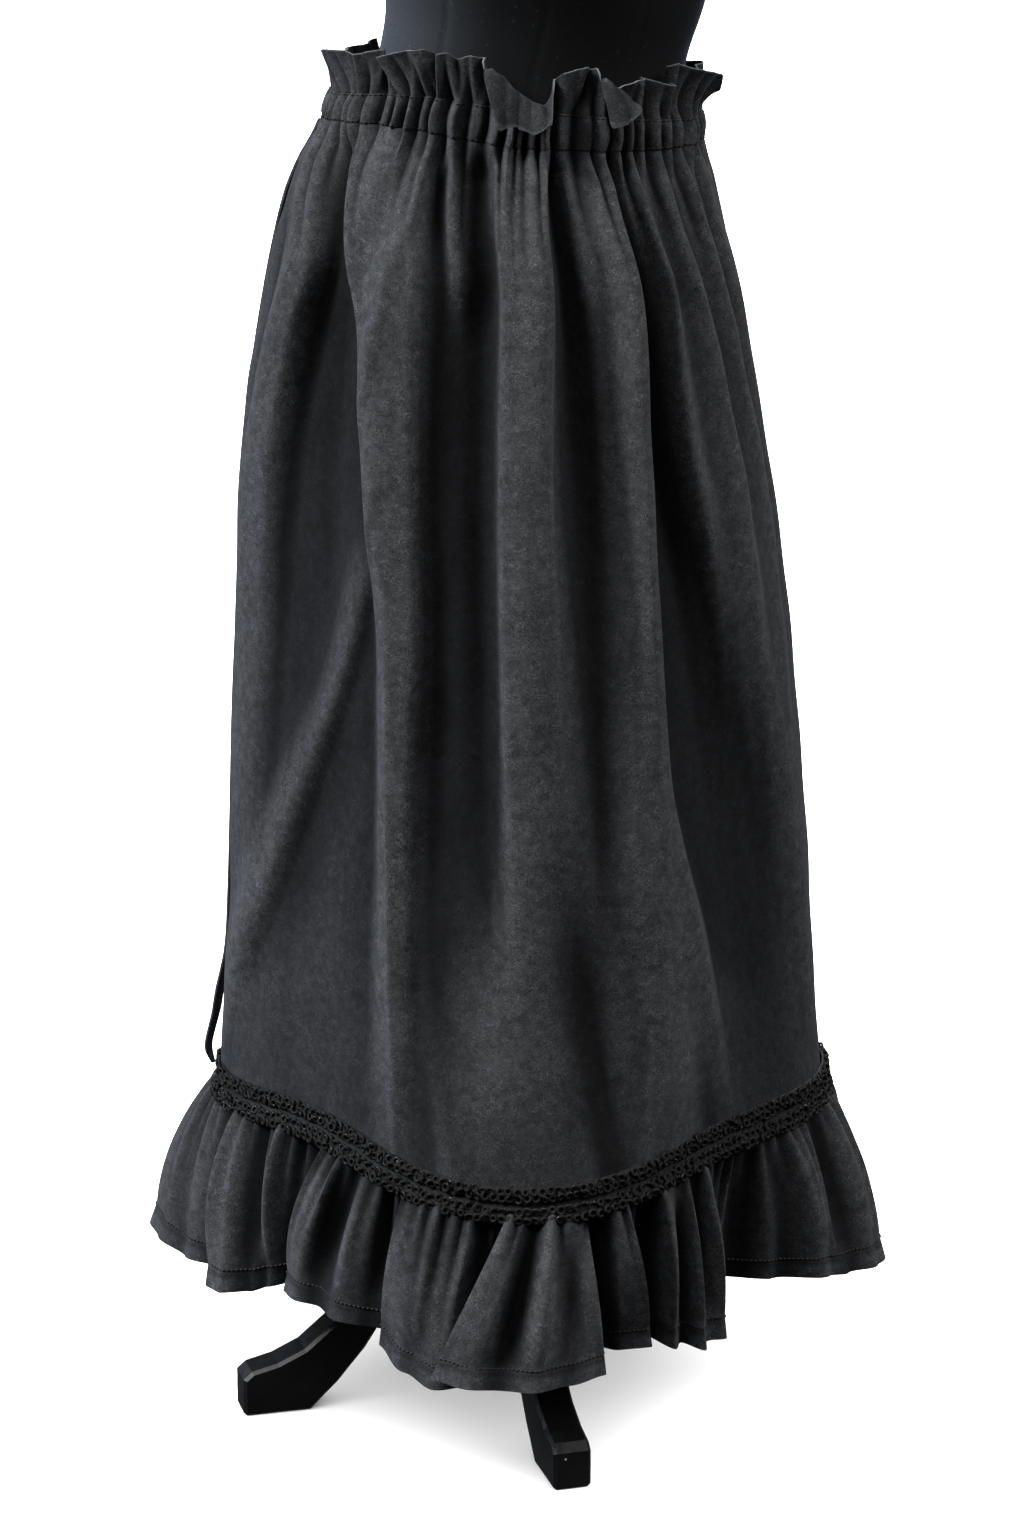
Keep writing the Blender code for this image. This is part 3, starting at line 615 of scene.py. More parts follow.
def grid_mesh(name, outer, inner, painted_lightness, wrap, look):
    """Closed wall between two grids of points in millimetres. The painted lightness is nought in the
    valleys of the cloth, where the painted shade is deepest, and one on its ridges."""
    rows, columns = outer.shape[:2]
    points = np.concatenate([outer.reshape(-1, 3), inner.reshape(-1, 3)]) * MM
    number = np.arange(rows * columns).reshape(rows, columns)
    behind = number + rows * columns
    if wrap:
        number = np.concatenate([number, number[:, :1]], axis=1)
        behind = np.concatenate([behind, behind[:, :1]], axis=1)
    quads = []

    def band(a, b):
        quads.append(np.stack([a[:-1], b[:-1], b[1:], a[1:]], axis=-1))

    for r in range(rows - 1):
        band(number[r], number[r + 1])
        band(behind[r + 1], behind[r])
    band(behind[0], number[0])
    band(number[-1], behind[-1])
    if not wrap:
        band(number[:, 0], behind[:, 0])
        band(behind[:, -1], number[:, -1])
    faces = np.concatenate(quads)
    mesh = bpy.data.meshes.new(name)
    mesh.from_pydata(points.tolist(), [], faces.tolist())
    span_across = np.linalg.norm(np.diff(outer, axis=1), axis=-1)
    span_down = np.linalg.norm(np.diff(outer, axis=0), axis=-1)
    across = np.concatenate([np.zeros((rows, 1)), np.cumsum(span_across, axis=1)], axis=1)
    down = np.concatenate([np.zeros((1, columns)), np.cumsum(span_down, axis=0)], axis=0)
    flat = np.stack([across[rows // 2][None, :].repeat(rows, 0), down], axis=-1) * MM
    both = np.concatenate([flat.reshape(-1, 2), flat.reshape(-1, 2)])
    corner = np.empty(len(mesh.loops), np.int32)
    mesh.loops.foreach_get("vertex_index", corner)
    layer = mesh.uv_layers.new(name="cloth")
    layer.data.foreach_set("uv", both[corner].astype(np.float32).ravel())
    painted_light_and_wear = mesh.attributes.new(name="painted_light_and_wear", type="FLOAT", domain="POINT")
    # The inside takes deeper painted shade: its painted lightness is a share of the outside's.
    shares = np.concatenate([painted_lightness.ravel(), painted_lightness.ravel() * INSIDE_PAINTED_LIGHTNESS])
    painted_light_and_wear.data.foreach_set("value", shares.astype(np.float32))
    mesh.shade_smooth()
    mesh.set_sharp_from_angle(angle=math.radians(SHARP_EDGE))
    mesh.materials.append(look)
    mesh.validate()
    made = bpy.data.objects.new(name, mesh)
    bpy.context.scene.collection.objects.link(made)
    return made


def halves(name, grid, painted_lightness, thickness, split, look):
    """Front and back of a ring of cloth, parted at its two side seams."""
    normal = outward(grid, True)
    inner = grid - normal * thickness
    columns = grid.shape[1]
    made = []
    for side, first, last, sign in (("front", 0, split, -1), ("back", split, columns, 1)):
        span = [c % columns for c in range(first, last + 1)]
        near = grid[:, span].copy()
        far = inner[:, span].copy()
        for part in (near, far):
            part[:, 0, 1] += sign * GAP / 2
            part[:, -1, 1] += sign * GAP / 2
        made.append(grid_mesh(f"{name}_{side}", near, far, painted_lightness[:, span], False, look))
    return made


def painted_lightness_by_depth(depth, reach, swing, level):
    """Painted lightness from nought in the hollows, where the painted shade is deepest, to one on the
    ridges: how far each point stands out from its neighbours along the row, and how far in all."""
    near = sum(np.roll(depth, step, axis=1) for step in range(-reach, reach + 1)) / (2 * reach + 1)
    return np.clip(level + (depth - near) / swing, 0, 1)


def skirt_lines():
    """All the lines round the skirt with their angles and rises by height."""
    level = (0,) * len(FOLD_HEIGHTS)
    lines = [((-180,) * len(FOLD_HEIGHTS), level)]
    lines += [(angles, rises) for _, angles, rises in FOLD_LINES]
    split = len(lines)
    lines.append((level, level))
    for _, angles, rises in FOLD_LINES:
        if min(angles) > BACK_FIRST and max(angles) <= BACK_LAST:
            turned = tuple(a + BACK_TURN for a in angles)
            lines.append((turned, tuple(BACK_SHARE * r for r in rises)))
    lines.append(((180,) * len(FOLD_HEIGHTS), level))
    return lines, split


def skirt_grid():
    """Outer points of the skirt and the column at its right side seam."""
    close = np.linspace(WAIST, CLOSE_ABOVE, CLOSE_ROWS)
    heights = np.concatenate([close[:-1], np.linspace(CLOSE_ABOVE, TRIM, SKIRT_ROWS)])
    lines, split = skirt_lines()
    angle_lines = [curve(FOLD_HEIGHTS, angles, heights) for angles, _ in lines]
    rise_lines = [curve(FOLD_HEIGHTS, rises, heights) for _, rises in lines]
    angle_parts = []
    rise_parts = []
    seam = 0
    for i in range(len(lines) - 1):
        if i == split:
            seam = sum(part.shape[1] for part in angle_parts)
        ahead = angle_lines[i + 1] - angle_lines[i]
        climb = rise_lines[i + 1] - rise_lines[i]
        width = float(np.mean(np.abs(ahead)))
        steps = max(3, round(width * COLUMNS_PER_DEGREE))
        t = np.arange(steps)[None, :] / steps
        angle_parts.append(angle_lines[i][:, None] + ahead[:, None] * t)
        rise_parts.append(rise_lines[i][:, None] + climb[:, None] * (0.5 * t + 0.5 * ease(t)))
    angle = np.concatenate(angle_parts, axis=1)
    rise = np.concatenate(rise_parts, axis=1)
    z = heights[:, None] + 0 * angle
    for _, angles, rises, left, right in CREASES:
        middle = curve(FOLD_HEIGHTS, angles, z)
        rise += curve(FOLD_HEIGHTS, rises, z) * bump(turn_between(angle, middle), left, right)
    rise *= ease((WAIST - z) / 26)
    wave, reach = WAIST_GATHERS.at(angle[0])
    # Painted shade where the cloth sinks below its neighbours and where its rise is low.
    painted_lightness = painted_lightness_by_depth(rise, 16, 15, np.clip(0.62 + rise / 27, 0.05, 1))
    fade = 1 - ease((WAIST - z) / (PLEAT_RUN * np.clip(reach, 0.45, 1.8))[None, :])
    # Painted shade in the valleys of the waist's gathers and a painted highlight on their ridges, fading
    # down the skirt.
    gathers_painted_light = (2.2 * wave[None, :] - 1.45) * fade
    # Painted shade near the trim seam.
    trim_painted_shade = 0.30 * ease((372 - z) / 100)
    painted_lightness = np.clip(painted_lightness + gathers_painted_light - trim_painted_shade, 0, 1)
    rise += waist_pleat(wave[None, :]) * fade
    rumple = 0.7 * np.sin(z / 23 + angle / 7) * np.sin(angle / 3.1 - z / 41)
    rise += rumple * ease((WAIST - z) / 80) * ease((z - TRIM) / 40)
    grid = body_point(angle, z, rise)
    smooth = softened(grid, 2, True)
    keep = ease((WAIST - z[:, :1]) / 50)[:, :, None] * 0.85 + 0.15
    return grid + (smooth - grid) * keep, painted_lightness, seam


def ruffle_grid():
    """Outer points of the hem ruffle and the column at its right side seam."""
    share = np.linspace(0, 1, RUFFLE_ROWS)[:, None]
    last = (180, 180) + RUFFLE_LINES[0][3:]
    lines = np.array([row[1:] for row in RUFFLE_LINES] + [last], float)
    parts = []
    seam = 0
    for i in range(len(lines) - 1):
        if lines[i][0] == 0:
            seam = sum(len(part) for part in parts)
        arc = max(abs(lines[i + 1][0] - lines[i][0]), 0.8 * abs(lines[i + 1][1] - lines[i][1]))
        steps = max(4, round(arc * RUFFLE_PER_DEGREE))
        t = (np.arange(steps) / steps)[:, None]
        straight = lines[i] + (lines[i + 1] - lines[i]) * t
        curved = lines[i] + (lines[i + 1] - lines[i]) * ease(t)
        parts.append(np.concatenate([straight[:, :2], curved[:, 2:]], axis=1))
    top_angle, hem_angle, radius, z, swell = np.concatenate(parts).T
    seam_points = body_point(top_angle, np.full_like(top_angle, TRIM), 0 * top_angle)
    seam_points[:, 2] -= GAP
    turn = np.radians(hem_angle)
    hem = np.stack([radius * np.cos(turn), radius * np.sin(turn), z], axis=-1)
    grid = seam_points[None] + (hem - seam_points)[None] * share[:, :, None]
    wave, reach = SEAM_GATHERS.at(top_angle)
    belly = np.sin(np.pi * share)
    fade = 1 - ease(share / (RUFFLE_RUN * np.clip(reach, 0.45, 1.6))[None, :])
    lift = ease(share / 0.12)
    swelled = np.sin(np.pi * np.minimum(share * 1.15, 1)) ** 0.8
    puff = RUFFLE_BELLY * belly + 2.0 * swell[None, :] * swelled
    puff = puff + (RUFFLE_RISE * wave[None, :] - RUFFLE_SINK) * fade * (0.4 + 0.6 * lift)
    way_angle = np.radians(top_angle + (hem_angle - top_angle) * share)
    grid[:, :, 0] += puff * np.cos(way_angle)
    grid[:, :, 1] += puff * np.sin(way_angle)
    grid = softened(grid, 1, True)
    # Painted shade over the whole ruffle: deeper near its seam, round two bearings at the front, and in its
    # hollows.
    shade = 0.30 * bump(turn_between(top_angle, -116), 40, 34)
    shade = shade + 0.06 * bump(turn_between(top_angle, -60), 22, 40)
    level = 0.20 + 0.24 * ease(share / 0.7) - shade[None, :]
    painted_lightness = painted_lightness_by_depth(np.hypot(grid[:, :, 0], grid[:, :, 1]), 13, 9, level)
    # Painted shade along one row near the hem, by the hem's stitches.
    painted_lightness[-4] *= 0.4
    return grid, painted_lightness, seam


def casing_rings(angle, share):
    """Points of the waist casing at angles and shares of its height."""
    turn = np.radians(angle)
    sway = 0.9 * np.sin(np.radians(angle) * 9 + 1) * np.sin(np.pi * share)
    wave, _ = WAIST_GATHERS.at(angle + sway)
    pinch = np.sin(np.pi * share) ** 0.6
    taper = 4.0 * share
    grow = 1.7 * pinch - 0.4 + waist_pleat(wave)
    width = CASING_WIDTH - taper + grow
    depth = CASING_DEPTH - taper + grow
    radius = 1 / np.hypot(np.cos(turn) / width, np.sin(turn) / depth)
    height = 19.5 + 7.5 * np.sin(turn) ** 2
    x = CASING_CENTRE[0] + 3.2 * share + radius * np.cos(turn)
    y = CASING_CENTRE[1] + radius * np.sin(turn)
    return np.stack([x, y, WAIST + GAP + tilt(angle) + share * height], axis=-1)


def casing_grid():
    """Outer points of the casing from its upper to its lower stitches."""
    share, angle = np.meshgrid(
        np.linspace(1, 0, CASING_ROWS),
        np.linspace(-180, 180, CASING_COLUMNS + 1)[:-1],
        indexing="ij",
    )
    wave, _ = WAIST_GATHERS.at(angle)
    # Painted shade in the valleys of the casing's gathers, full colour on their ridges.
    painted_lightness = np.clip(wave * 1.8 - 0.50, 0, 1)
    return casing_rings(angle, share), painted_lightness, CASING_COLUMNS // 2


def frill_grid():
    """Outer points of the frill from its cut edge down to the casing."""
    first = (180, 180) + FRILL_LINES[0][3:]
    lines = np.array([row[1:] for row in FRILL_LINES] + [first], float)
    parts = []
    seam = 0
    for i in range(len(lines) - 1):
        if lines[i][0] == 0:
            seam = sum(len(part) for part in parts)
        arc = max(abs(lines[i + 1][0] - lines[i][0]), abs(lines[i + 1][1] - lines[i][1]))
        steps = max(4, round(arc * FRILL_PER_DEGREE))
        t = (np.arange(steps) / steps)[:, None]
        parts.append(lines[i] + (lines[i + 1] - lines[i]) * (0.7 * t + 0.3 * ease(t)))
    base_angle, tip_angle, out, up, bend_out, bend_up = np.concatenate(parts).T
    base = casing_rings(base_angle, 1 + 0 * base_angle)
    wave, _ = WAIST_GATHERS.at(tip_angle)
    turn = np.radians(tip_angle)
    way = np.stack([np.cos(turn), np.sin(turn), 0 * turn], axis=-1)
    level = casing_rings(tip_angle, 1 + 0 * tip_angle) - way * (waist_pleat(wave) * 0.7)[:, None]
    tip = level + way * out[:, None]
    tip[:, 2] += up
    half = (base * [1, 1, 0] + level * [1, 1, 0]) / 2 + level * [0, 0, 1]
    half = half + way * bend_out[:, None]
    half[:, 2] += bend_up
    control = 2 * half - (base + tip) / 2
    share = np.linspace(1, 0, FRILL_ROWS)[:, None, None]
    grid = (1 - share) ** 2 * base + 2 * share * (1 - share) * control + share**2 * tip
    grid[:, :, 2] += GAP
    grid = softened(grid, 1, True)
    stand = np.hypot(grid[:, :, 0] - CASING_CENTRE[0], grid[:, :, 1] - CASING_CENTRE[1])
    # Painted shade in the frill's hollows, where it sinks in from its neighbours.
    painted_lightness = painted_lightness_by_depth(stand, 8, 8, 0.50)
    # Painted highlight on the frill's cut edge.
    painted_lightness[0] = CUT_EDGE
    return grid, painted_lightness, seam


def make_material(name):
    """Empty node material and its shader."""
    made = bpy.data.materials.new(name)
    made.use_nodes = True
    return made, made.node_tree.nodes, made.node_tree.links, made.node_tree.nodes["Principled BSDF"]


def noise(nodes, links, coord, scale, detail=2.0, rough=0.5, distortion=0.0):
    """Noise texture on the piece's own coordinates."""
    made = nodes.new("ShaderNodeTexNoise")
    made.inputs["Scale"].default_value = scale
    made.inputs["Detail"].default_value = detail
    made.inputs["Roughness"].default_value = rough
    made.inputs["Distortion"].default_value = distortion
    links.new(coord, made.inputs["Vector"])
    return made.outputs["Fac"]


def remap(nodes, links, value, low, high, to_low=0.0, to_high=1.0):
    """Value taken from one range to another, without passing its ends."""
    made = nodes.new("ShaderNodeMapRange")
    made.inputs["From Min"].default_value = low
    made.inputs["From Max"].default_value = high
    made.inputs["To Min"].default_value = to_low
    made.inputs["To Max"].default_value = to_high
    links.new(value, made.inputs["Value"])
    return made.outputs["Result"]


def maths(nodes, links, operation, first, second=None):
    """One step of arithmetic on values or numbers."""
    made = nodes.new("ShaderNodeMath")
    made.operation = operation
    for i, given in enumerate((first, second)):
        if given is None:
            continue
        if isinstance(given, (int, float)):
            made.inputs[i].default_value = given
        else:
            links.new(given, made.inputs[i])
    return made.outputs[0]


def mixed(nodes, links, share, first, second):
    """Colour between two colours, each a socket or three numbers."""
    made = nodes.new("ShaderNodeMix")
    made.data_type = "RGBA"
    links.new(share, made.inputs["Factor"])
    for name, given in (("A", first), ("B", second)):
        socket = next(s for s in made.inputs if s.name == name and s.type == "RGBA")
        if isinstance(given, tuple):
            socket.default_value = (given[0], given[1], given[2], 1)
        else:
            links.new(given, socket)
    return next(s for s in made.outputs if s.type == "RGBA")


def bumped(nodes, links, height, strength, distance, under=None):
    """Bump node from a height, over another where one is given."""
    made = nodes.new("ShaderNodeBump")
    made.inputs["Strength"].default_value = strength
    made.inputs["Distance"].default_value = distance
    links.new(height, made.inputs["Height"])
    if under is not None:
        links.new(under, made.inputs["Normal"])
    return made.outputs["Normal"]


def brushed_cotton(name, looks):
    """Charcoal brushed cotton: curly nap, soft mottling, painted shade in its hollows and a painted
    highlight on its cut edges.
    """
    made, nodes, links, shader = make_material(name)
    coord = nodes.new("ShaderNodeTexCoord").outputs["Object"]
    painted_light_and_wear = nodes.new("ShaderNodeAttribute")
    painted_light_and_wear.attribute_name = "painted_light_and_wear"
    curls = noise(nodes, links, coord, 340, 1.0, 0.5, 1.8)
    line = maths(nodes, links, "ABSOLUTE", maths(nodes, links, "SUBTRACT", curls, 0.5))
    line = remap(nodes, links, line, 0.0, 0.07, 1.0, 0.0)
    broken = remap(nodes, links, noise(nodes, links, coord, 120, 2.0), 0.38, 0.62)
    line = maths(nodes, links, "MULTIPLY", line, broken)
    cloud = remap(nodes, links, noise(nodes, links, coord, 38, 4.0, 0.62, 0.4), 0.30, 0.72)
    wide = remap(nodes, links, noise(nodes, links, coord, 9, 3.0, 0.55), 0.30, 0.70)
    grain = noise(nodes, links, coord, 900, 2.0, 0.6)
    base = tuple(looks.cloth_colour)
    dark = tuple(c * 0.30 for c in base)
    light = tuple(c * 1.85 for c in base)
    blot = remap(nodes, links, noise(nodes, links, coord, 185, 3.0, 0.6, 0.8), 0.40, 0.61)
    parts = maths(nodes, links, "MULTIPLY", cloud, 0.3)
    parts = maths(nodes, links, "ADD", parts, maths(nodes, links, "MULTIPLY", wide, 0.22))
    parts = maths(nodes, links, "ADD", parts, maths(nodes, links, "MULTIPLY", blot, 0.38))
    colour = mixed(nodes, links, parts, dark, light)
    specks = remap(nodes, links, grain, 0.40, 0.72, 0.0, 0.7)
    colour = mixed(nodes, links, specks, colour, tuple(c * 2.2 for c in base))
    curled = maths(nodes, links, "MULTIPLY", line, 0.85)
    colour = mixed(nodes, links, curled, colour, tuple(looks.nap_colour))
    # Painted shade: the colour goes towards near black where the mesh attribute marks a hollow.
    ridge = remap(nodes, links, painted_light_and_wear.outputs["Fac"], 0.0, 1.0, 0.10, 1.0)
    colour = mixed(nodes, links, ridge, PAINTED_SHADE_COLOUR, colour)
    # Painted highlight: a pale colour on the cut edges, where light catches them.
    edge_highlight = remap(nodes, links, painted_light_and_wear.outputs["Fac"], 1.2, 2.0)
    colour = mixed(nodes, links, edge_highlight, colour, PAINTED_EDGE_HIGHLIGHT)
    links.new(colour, shader.inputs["Base Color"])
    links.new(remap(nodes, links, cloud, 0, 1, 0.95, 0.80), shader.inputs["Roughness"])
    height = maths(nodes, links, "MULTIPLY", line, 0.6)
    height = maths(nodes, links, "ADD", height, maths(nodes, links, "MULTIPLY", grain, 0.6))
    fine = bumped(nodes, links, height, 0.6, 0.0007)
    rumple = noise(nodes, links, coord, 55, 3.0, 0.5)
    links.new(bumped(nodes, links, rumple, 0.35, 0.003, fine), shader.inputs["Normal"])
    shader.inputs["Specular IOR Level"].default_value = 0.12
    shader.inputs["Sheen Weight"].default_value = 0.06
    shader.inputs["Sheen Roughness"].default_value = 0.45
    shader.inputs["Sheen Tint"].default_value = (0.62, 0.72, 0.9, 1)
    return made


def looped_braid(name, looks):
    """Black crochet yarn with a faint sparkle."""
    made, nodes, links, shader = make_material(name)
    coord = nodes.new("ShaderNodeTexCoord").outputs["Object"]
    strand = noise(nodes, links, coord, 900, 2.0, 0.6)
    patch = remap(nodes, links, noise(nodes, links, coord, 120, 2.0), 0.35, 0.7)
    low = tuple(c * 0.6 for c in looks.braid_colour)
    high = tuple(c * 1.5 for c in looks.braid_colour)
    colour = mixed(nodes, links, patch, low, high)
    links.new(colour, shader.inputs["Base Color"])
    glint = remap(nodes, links, noise(nodes, links, coord, 420, 0.0), 0.68, 0.72, 0.75, 0.22)
    links.new(glint, shader.inputs["Roughness"])
    links.new(bumped(nodes, links, strand, 0.5, 0.0008), shader.inputs["Normal"])
    shader.inputs["Specular IOR Level"].default_value = 0.28
    return made


def form_jersey(name, looks):
    """Matt black knitted cover with a fine grain."""
    made, nodes, links, shader = make_material(name)
    coord = nodes.new("ShaderNodeTexCoord").outputs["Object"]
    grain = noise(nodes, links, coord, 1100, 2.0, 0.6)
    lint = remap(nodes, links, noise(nodes, links, coord, 260, 1.0), 0.70, 0.78)
    wide = remap(nodes, links, noise(nodes, links, coord, 14, 3.0), 0.3, 0.7)
    low = tuple(c * 0.8 for c in looks.form_colour)
    high = tuple(c * 1.35 for c in looks.form_colour)
    colour = mixed(nodes, links, wide, low, high)
    colour = mixed(nodes, links, maths(nodes, links, "MULTIPLY", lint, 0.25), colour, LINT)
    links.new(colour, shader.inputs["Base Color"])
    links.new(remap(nodes, links, grain, 0.2, 0.8, 0.95, 0.75), shader.inputs["Roughness"])
    links.new(bumped(nodes, links, grain, 0.3, 0.0006), shader.inputs["Normal"])
    shader.inputs["Specular IOR Level"].default_value = 0.2
    shader.inputs["Sheen Weight"].default_value = 0.40
    shader.inputs["Sheen Roughness"].default_value = 0.25
    shader.inputs["Sheen Tint"].default_value = (0.50, 0.62, 0.85, 1)
    return made


def painted_wood(name, looks):
    """Satin black paint on wood: brush marks, soft wear and small chips."""
    made, nodes, links, shader = make_material(name)
    coord = nodes.new("ShaderNodeTexCoord").outputs["Object"]
    marks = noise(nodes, links, coord, 120, 4.0, 0.6, 0.3)
    painted_light_and_wear = remap(nodes, links, noise(nodes, links, coord, 22, 3.0), 0.35, 0.7)
    chip = remap(nodes, links, noise(nodes, links, coord, 95, 1.0), 0.775, 0.785)
    low = tuple(c * 0.8 for c in looks.wood_colour)
    high = tuple(c * 1.5 for c in looks.wood_colour)
    colour = mixed(nodes, links, painted_light_and_wear, low, high)
    colour = mixed(nodes, links, chip, colour, BARE_WOOD)
    links.new(colour, shader.inputs["Base Color"])
    links.new(remap(nodes, links, marks, 0.25, 0.75, 0.24, 0.40), shader.inputs["Roughness"])
    links.new(bumped(nodes, links, marks, 0.12, 0.0008), shader.inputs["Normal"])
    shader.inputs["Specular IOR Level"].default_value = 0.5
    shader.inputs["Coat Weight"].default_value = 0.15
    shader.inputs["Coat Roughness"].default_value = 0.2
    return made


def dark_thread(name, looks):
    """Dark sewing thread."""
    made, nodes, links, shader = make_material(name)
    coord = nodes.new("ShaderNodeTexCoord").outputs["Object"]
    twist = noise(nodes, links, coord, 1300, 1.0)
    low = tuple(c * 0.5 for c in looks.thread_colour)
    colour = mixed(nodes, links, remap(nodes, links, twist, 0.3, 0.7), low, tuple(looks.thread_colour))
    links.new(colour, shader.inputs["Base Color"])
    links.new(bumped(nodes, links, twist, 0.4, 0.0004), shader.inputs["Normal"])
    shader.inputs["Roughness"].default_value = 0.65
    return made


def look_of(name, make):
    """Material of this name, made the first time it is asked for."""
    found = bpy.data.materials.get(name)
    return found or make(name, bpy.context.scene.skirt_looks)


def finish_piece(piece, nodes):
    """Ties a piece to the part, with the solids that it stands for."""
    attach(piece, "root")
    if nodes:
        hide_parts(*nodes)


def copies_mesh(name, points, faces, places, look):
    """One mesh of many copies of a small shape, each with its own 3x4 place."""
    points = np.asarray(points, float)
    count = len(points)
    turned = np.einsum("nij,kj->nki", places[:, :, :3], points) + places[:, None, :, 3]
    every = turned.reshape(-1, 3) * MM
    all_faces = []
    for n in range(len(places)):
        all_faces += [tuple(i + n * count for i in face) for face in faces]
    mesh = bpy.data.meshes.new(name)
    mesh.from_pydata(every.tolist(), [], all_faces)
    mesh.shade_smooth()
    mesh.materials.append(look)
    made = bpy.data.objects.new(name, mesh)
    bpy.context.scene.collection.objects.link(made)
    return made


def loop_shape(radius, thick, around, sides):
    """Points and faces of one yarn loop."""
    points = []
    for a in range(around):
        big = 2 * math.pi * a / around
        for s in range(sides):
            small = 2 * math.pi * s / sides
            reach = radius + thick * math.cos(small)
            points.append((reach * math.cos(big), reach * math.sin(big), thick * math.sin(small)))
    faces = []
    for a in range(around):
        for s in range(sides):
            b = (a + 1) % around
            t = (s + 1) % sides
            faces.append((a * sides + s, b * sides + s, b * sides + t, a * sides + t))
    return points, faces


def stitch_shape(length, thick):
    """Points and faces of one stitch, which lies along its first axis."""
    points = [(-length / 2, 0, 0)]
    for x in (-length * 0.36, length * 0.36):
        for s in range(5):
            turn = 2 * math.pi * s / 5
            points.append((x, thick * math.cos(turn), thick * math.sin(turn)))
    points.append((length / 2, 0, 0))
    faces = []
    for s in range(5):
        t = (s + 1) % 5
        faces.append((0, 1 + t, 1 + s))
        faces.append((1 + s, 1 + t, 6 + t, 6 + s))
        faces.append((11, 6 + s, 6 + t))
    return points, faces


def spaced(line, pitch):
    """Points and directions at equal steps along a closed line of points."""
    ring = np.concatenate([line, line[:1]])
    lengths = np.linalg.norm(np.diff(ring, axis=0), axis=1)
    along = np.concatenate([[0], np.cumsum(lengths)])
    count = int(along[-1] / pitch)
    at = (np.arange(count) + 0.5) * along[-1] / count
    points = np.stack([np.interp(at, along, ring[:, k]) for k in range(3)], axis=1)
    ahead = np.stack([np.interp((at + 1.5) % along[-1], along, ring[:, k]) for k in range(3)], axis=1)
    way = ahead - points
    way /= np.linalg.norm(way, axis=1, keepdims=True)
    return points, way, at / along[-1]


def stitch_row(line, normals, pitch, thick, depth):
    """Places of stitches along a closed line, pressed into the cloth."""
    points, way, share = spaced(line, pitch)
    at = np.linspace(0, 1, len(line) + 1)[:-1]
    out = np.stack([np.interp(share, at, normals[:, k]) for k in range(3)], axis=1)
    out -= way * np.sum(out * way, axis=1, keepdims=True)
    out /= np.linalg.norm(out, axis=1, keepdims=True)
    side = np.cross(out, way)
    places = np.zeros((len(points), 3, 4))
    places[:, :, 0] = way
    places[:, :, 1] = side
    places[:, :, 2] = out
    places[:, :, 3] = points + out * (thick - depth)
    return places


class SkirtLooks(bpy.types.PropertyGroup):
    """Sizes and colours that a user would change."""

    cloth_thickness: bpy.props.FloatProperty(
        name="Cloth thickness",
        description="Thickness of the skirt and ruffle cloth",
        default=0.0014,
        unit="LENGTH",
    )
    casing_thickness: bpy.props.FloatProperty(
        name="Casing thickness",
        description="Thickness of the elastic casing",
        default=0.0022,
        unit="LENGTH",
    )
    loop_size: bpy.props.FloatProperty(
        name="Braid loop",
        description="Radius of one loop of the braid",
        default=0.0027,
        unit="LENGTH",
    )
    loop_yarn: bpy.props.FloatProperty(
        name="Braid yarn",
        description="Radius of the braid's yarn",
        default=0.00125,
        unit="LENGTH",
    )
    stitch_pitch: bpy.props.FloatProperty(
        name="Stitch pitch",
        description="Distance from one stitch to the next",
        default=0.0036,
        unit="LENGTH",
    )
    cloth_colour: bpy.props.FloatVectorProperty(
        name="Cloth",
        description="Main colour of the brushed cotton",
        default=(0.030, 0.031, 0.0332),
        subtype="COLOR",
    )
    nap_colour: bpy.props.FloatVectorProperty(
        name="Nap",
        description="Colour of the curly nap",
        default=(0.125, 0.128, 0.136),
        subtype="COLOR",
    )
    braid_colour: bpy.props.FloatVectorProperty(
        name="Braid",
        description="Colour of the looped braid",
        default=(0.0016, 0.0016, 0.0018),
        subtype="COLOR",
    )
    form_colour: bpy.props.FloatVectorProperty(
        name="Form cover",
        description="Colour of the dress form's cover",
        default=(0.0026, 0.0029, 0.0036),
        subtype="COLOR",
    )
    wood_colour: bpy.props.FloatVectorProperty(
        name="Painted wood",
        description="Colour of the stand's paint",
        default=(0.006, 0.006, 0.007),
        subtype="COLOR",
    )
    thread_colour: bpy.props.FloatVectorProperty(
        name="Thread",
        description="Colour of the sewing thread",
        default=(0.006, 0.006, 0.007),
        subtype="COLOR",
    )
    floor_colour: bpy.props.FloatVectorProperty(
        name="Floor",
        description="Colour of the studio floor",
        default=(0.92, 0.92, 0.92),
        subtype="COLOR",
    )


class SKIRT_OT_panels(bpy.types.Operator):
    """Makes the front and back panels of the skirt"""

    bl_idname = "skirt.panels"
    bl_label = "Skirt panels"

    def execute(self, context):
        looks = context.scene.skirt_looks
        cotton = look_of("charcoal_brushed_cotton", brushed_cotton)
        grid, painted_lightness, seam = skirt_grid()
        made = halves("skirt_cloth", grid, painted_lightness, looks.cloth_thickness / MM, seam, cotton)
        for piece, node in zip(made, ("skirt_front", "skirt_back")):
            finish_piece(piece, (node,))
        return {"FINISHED"}


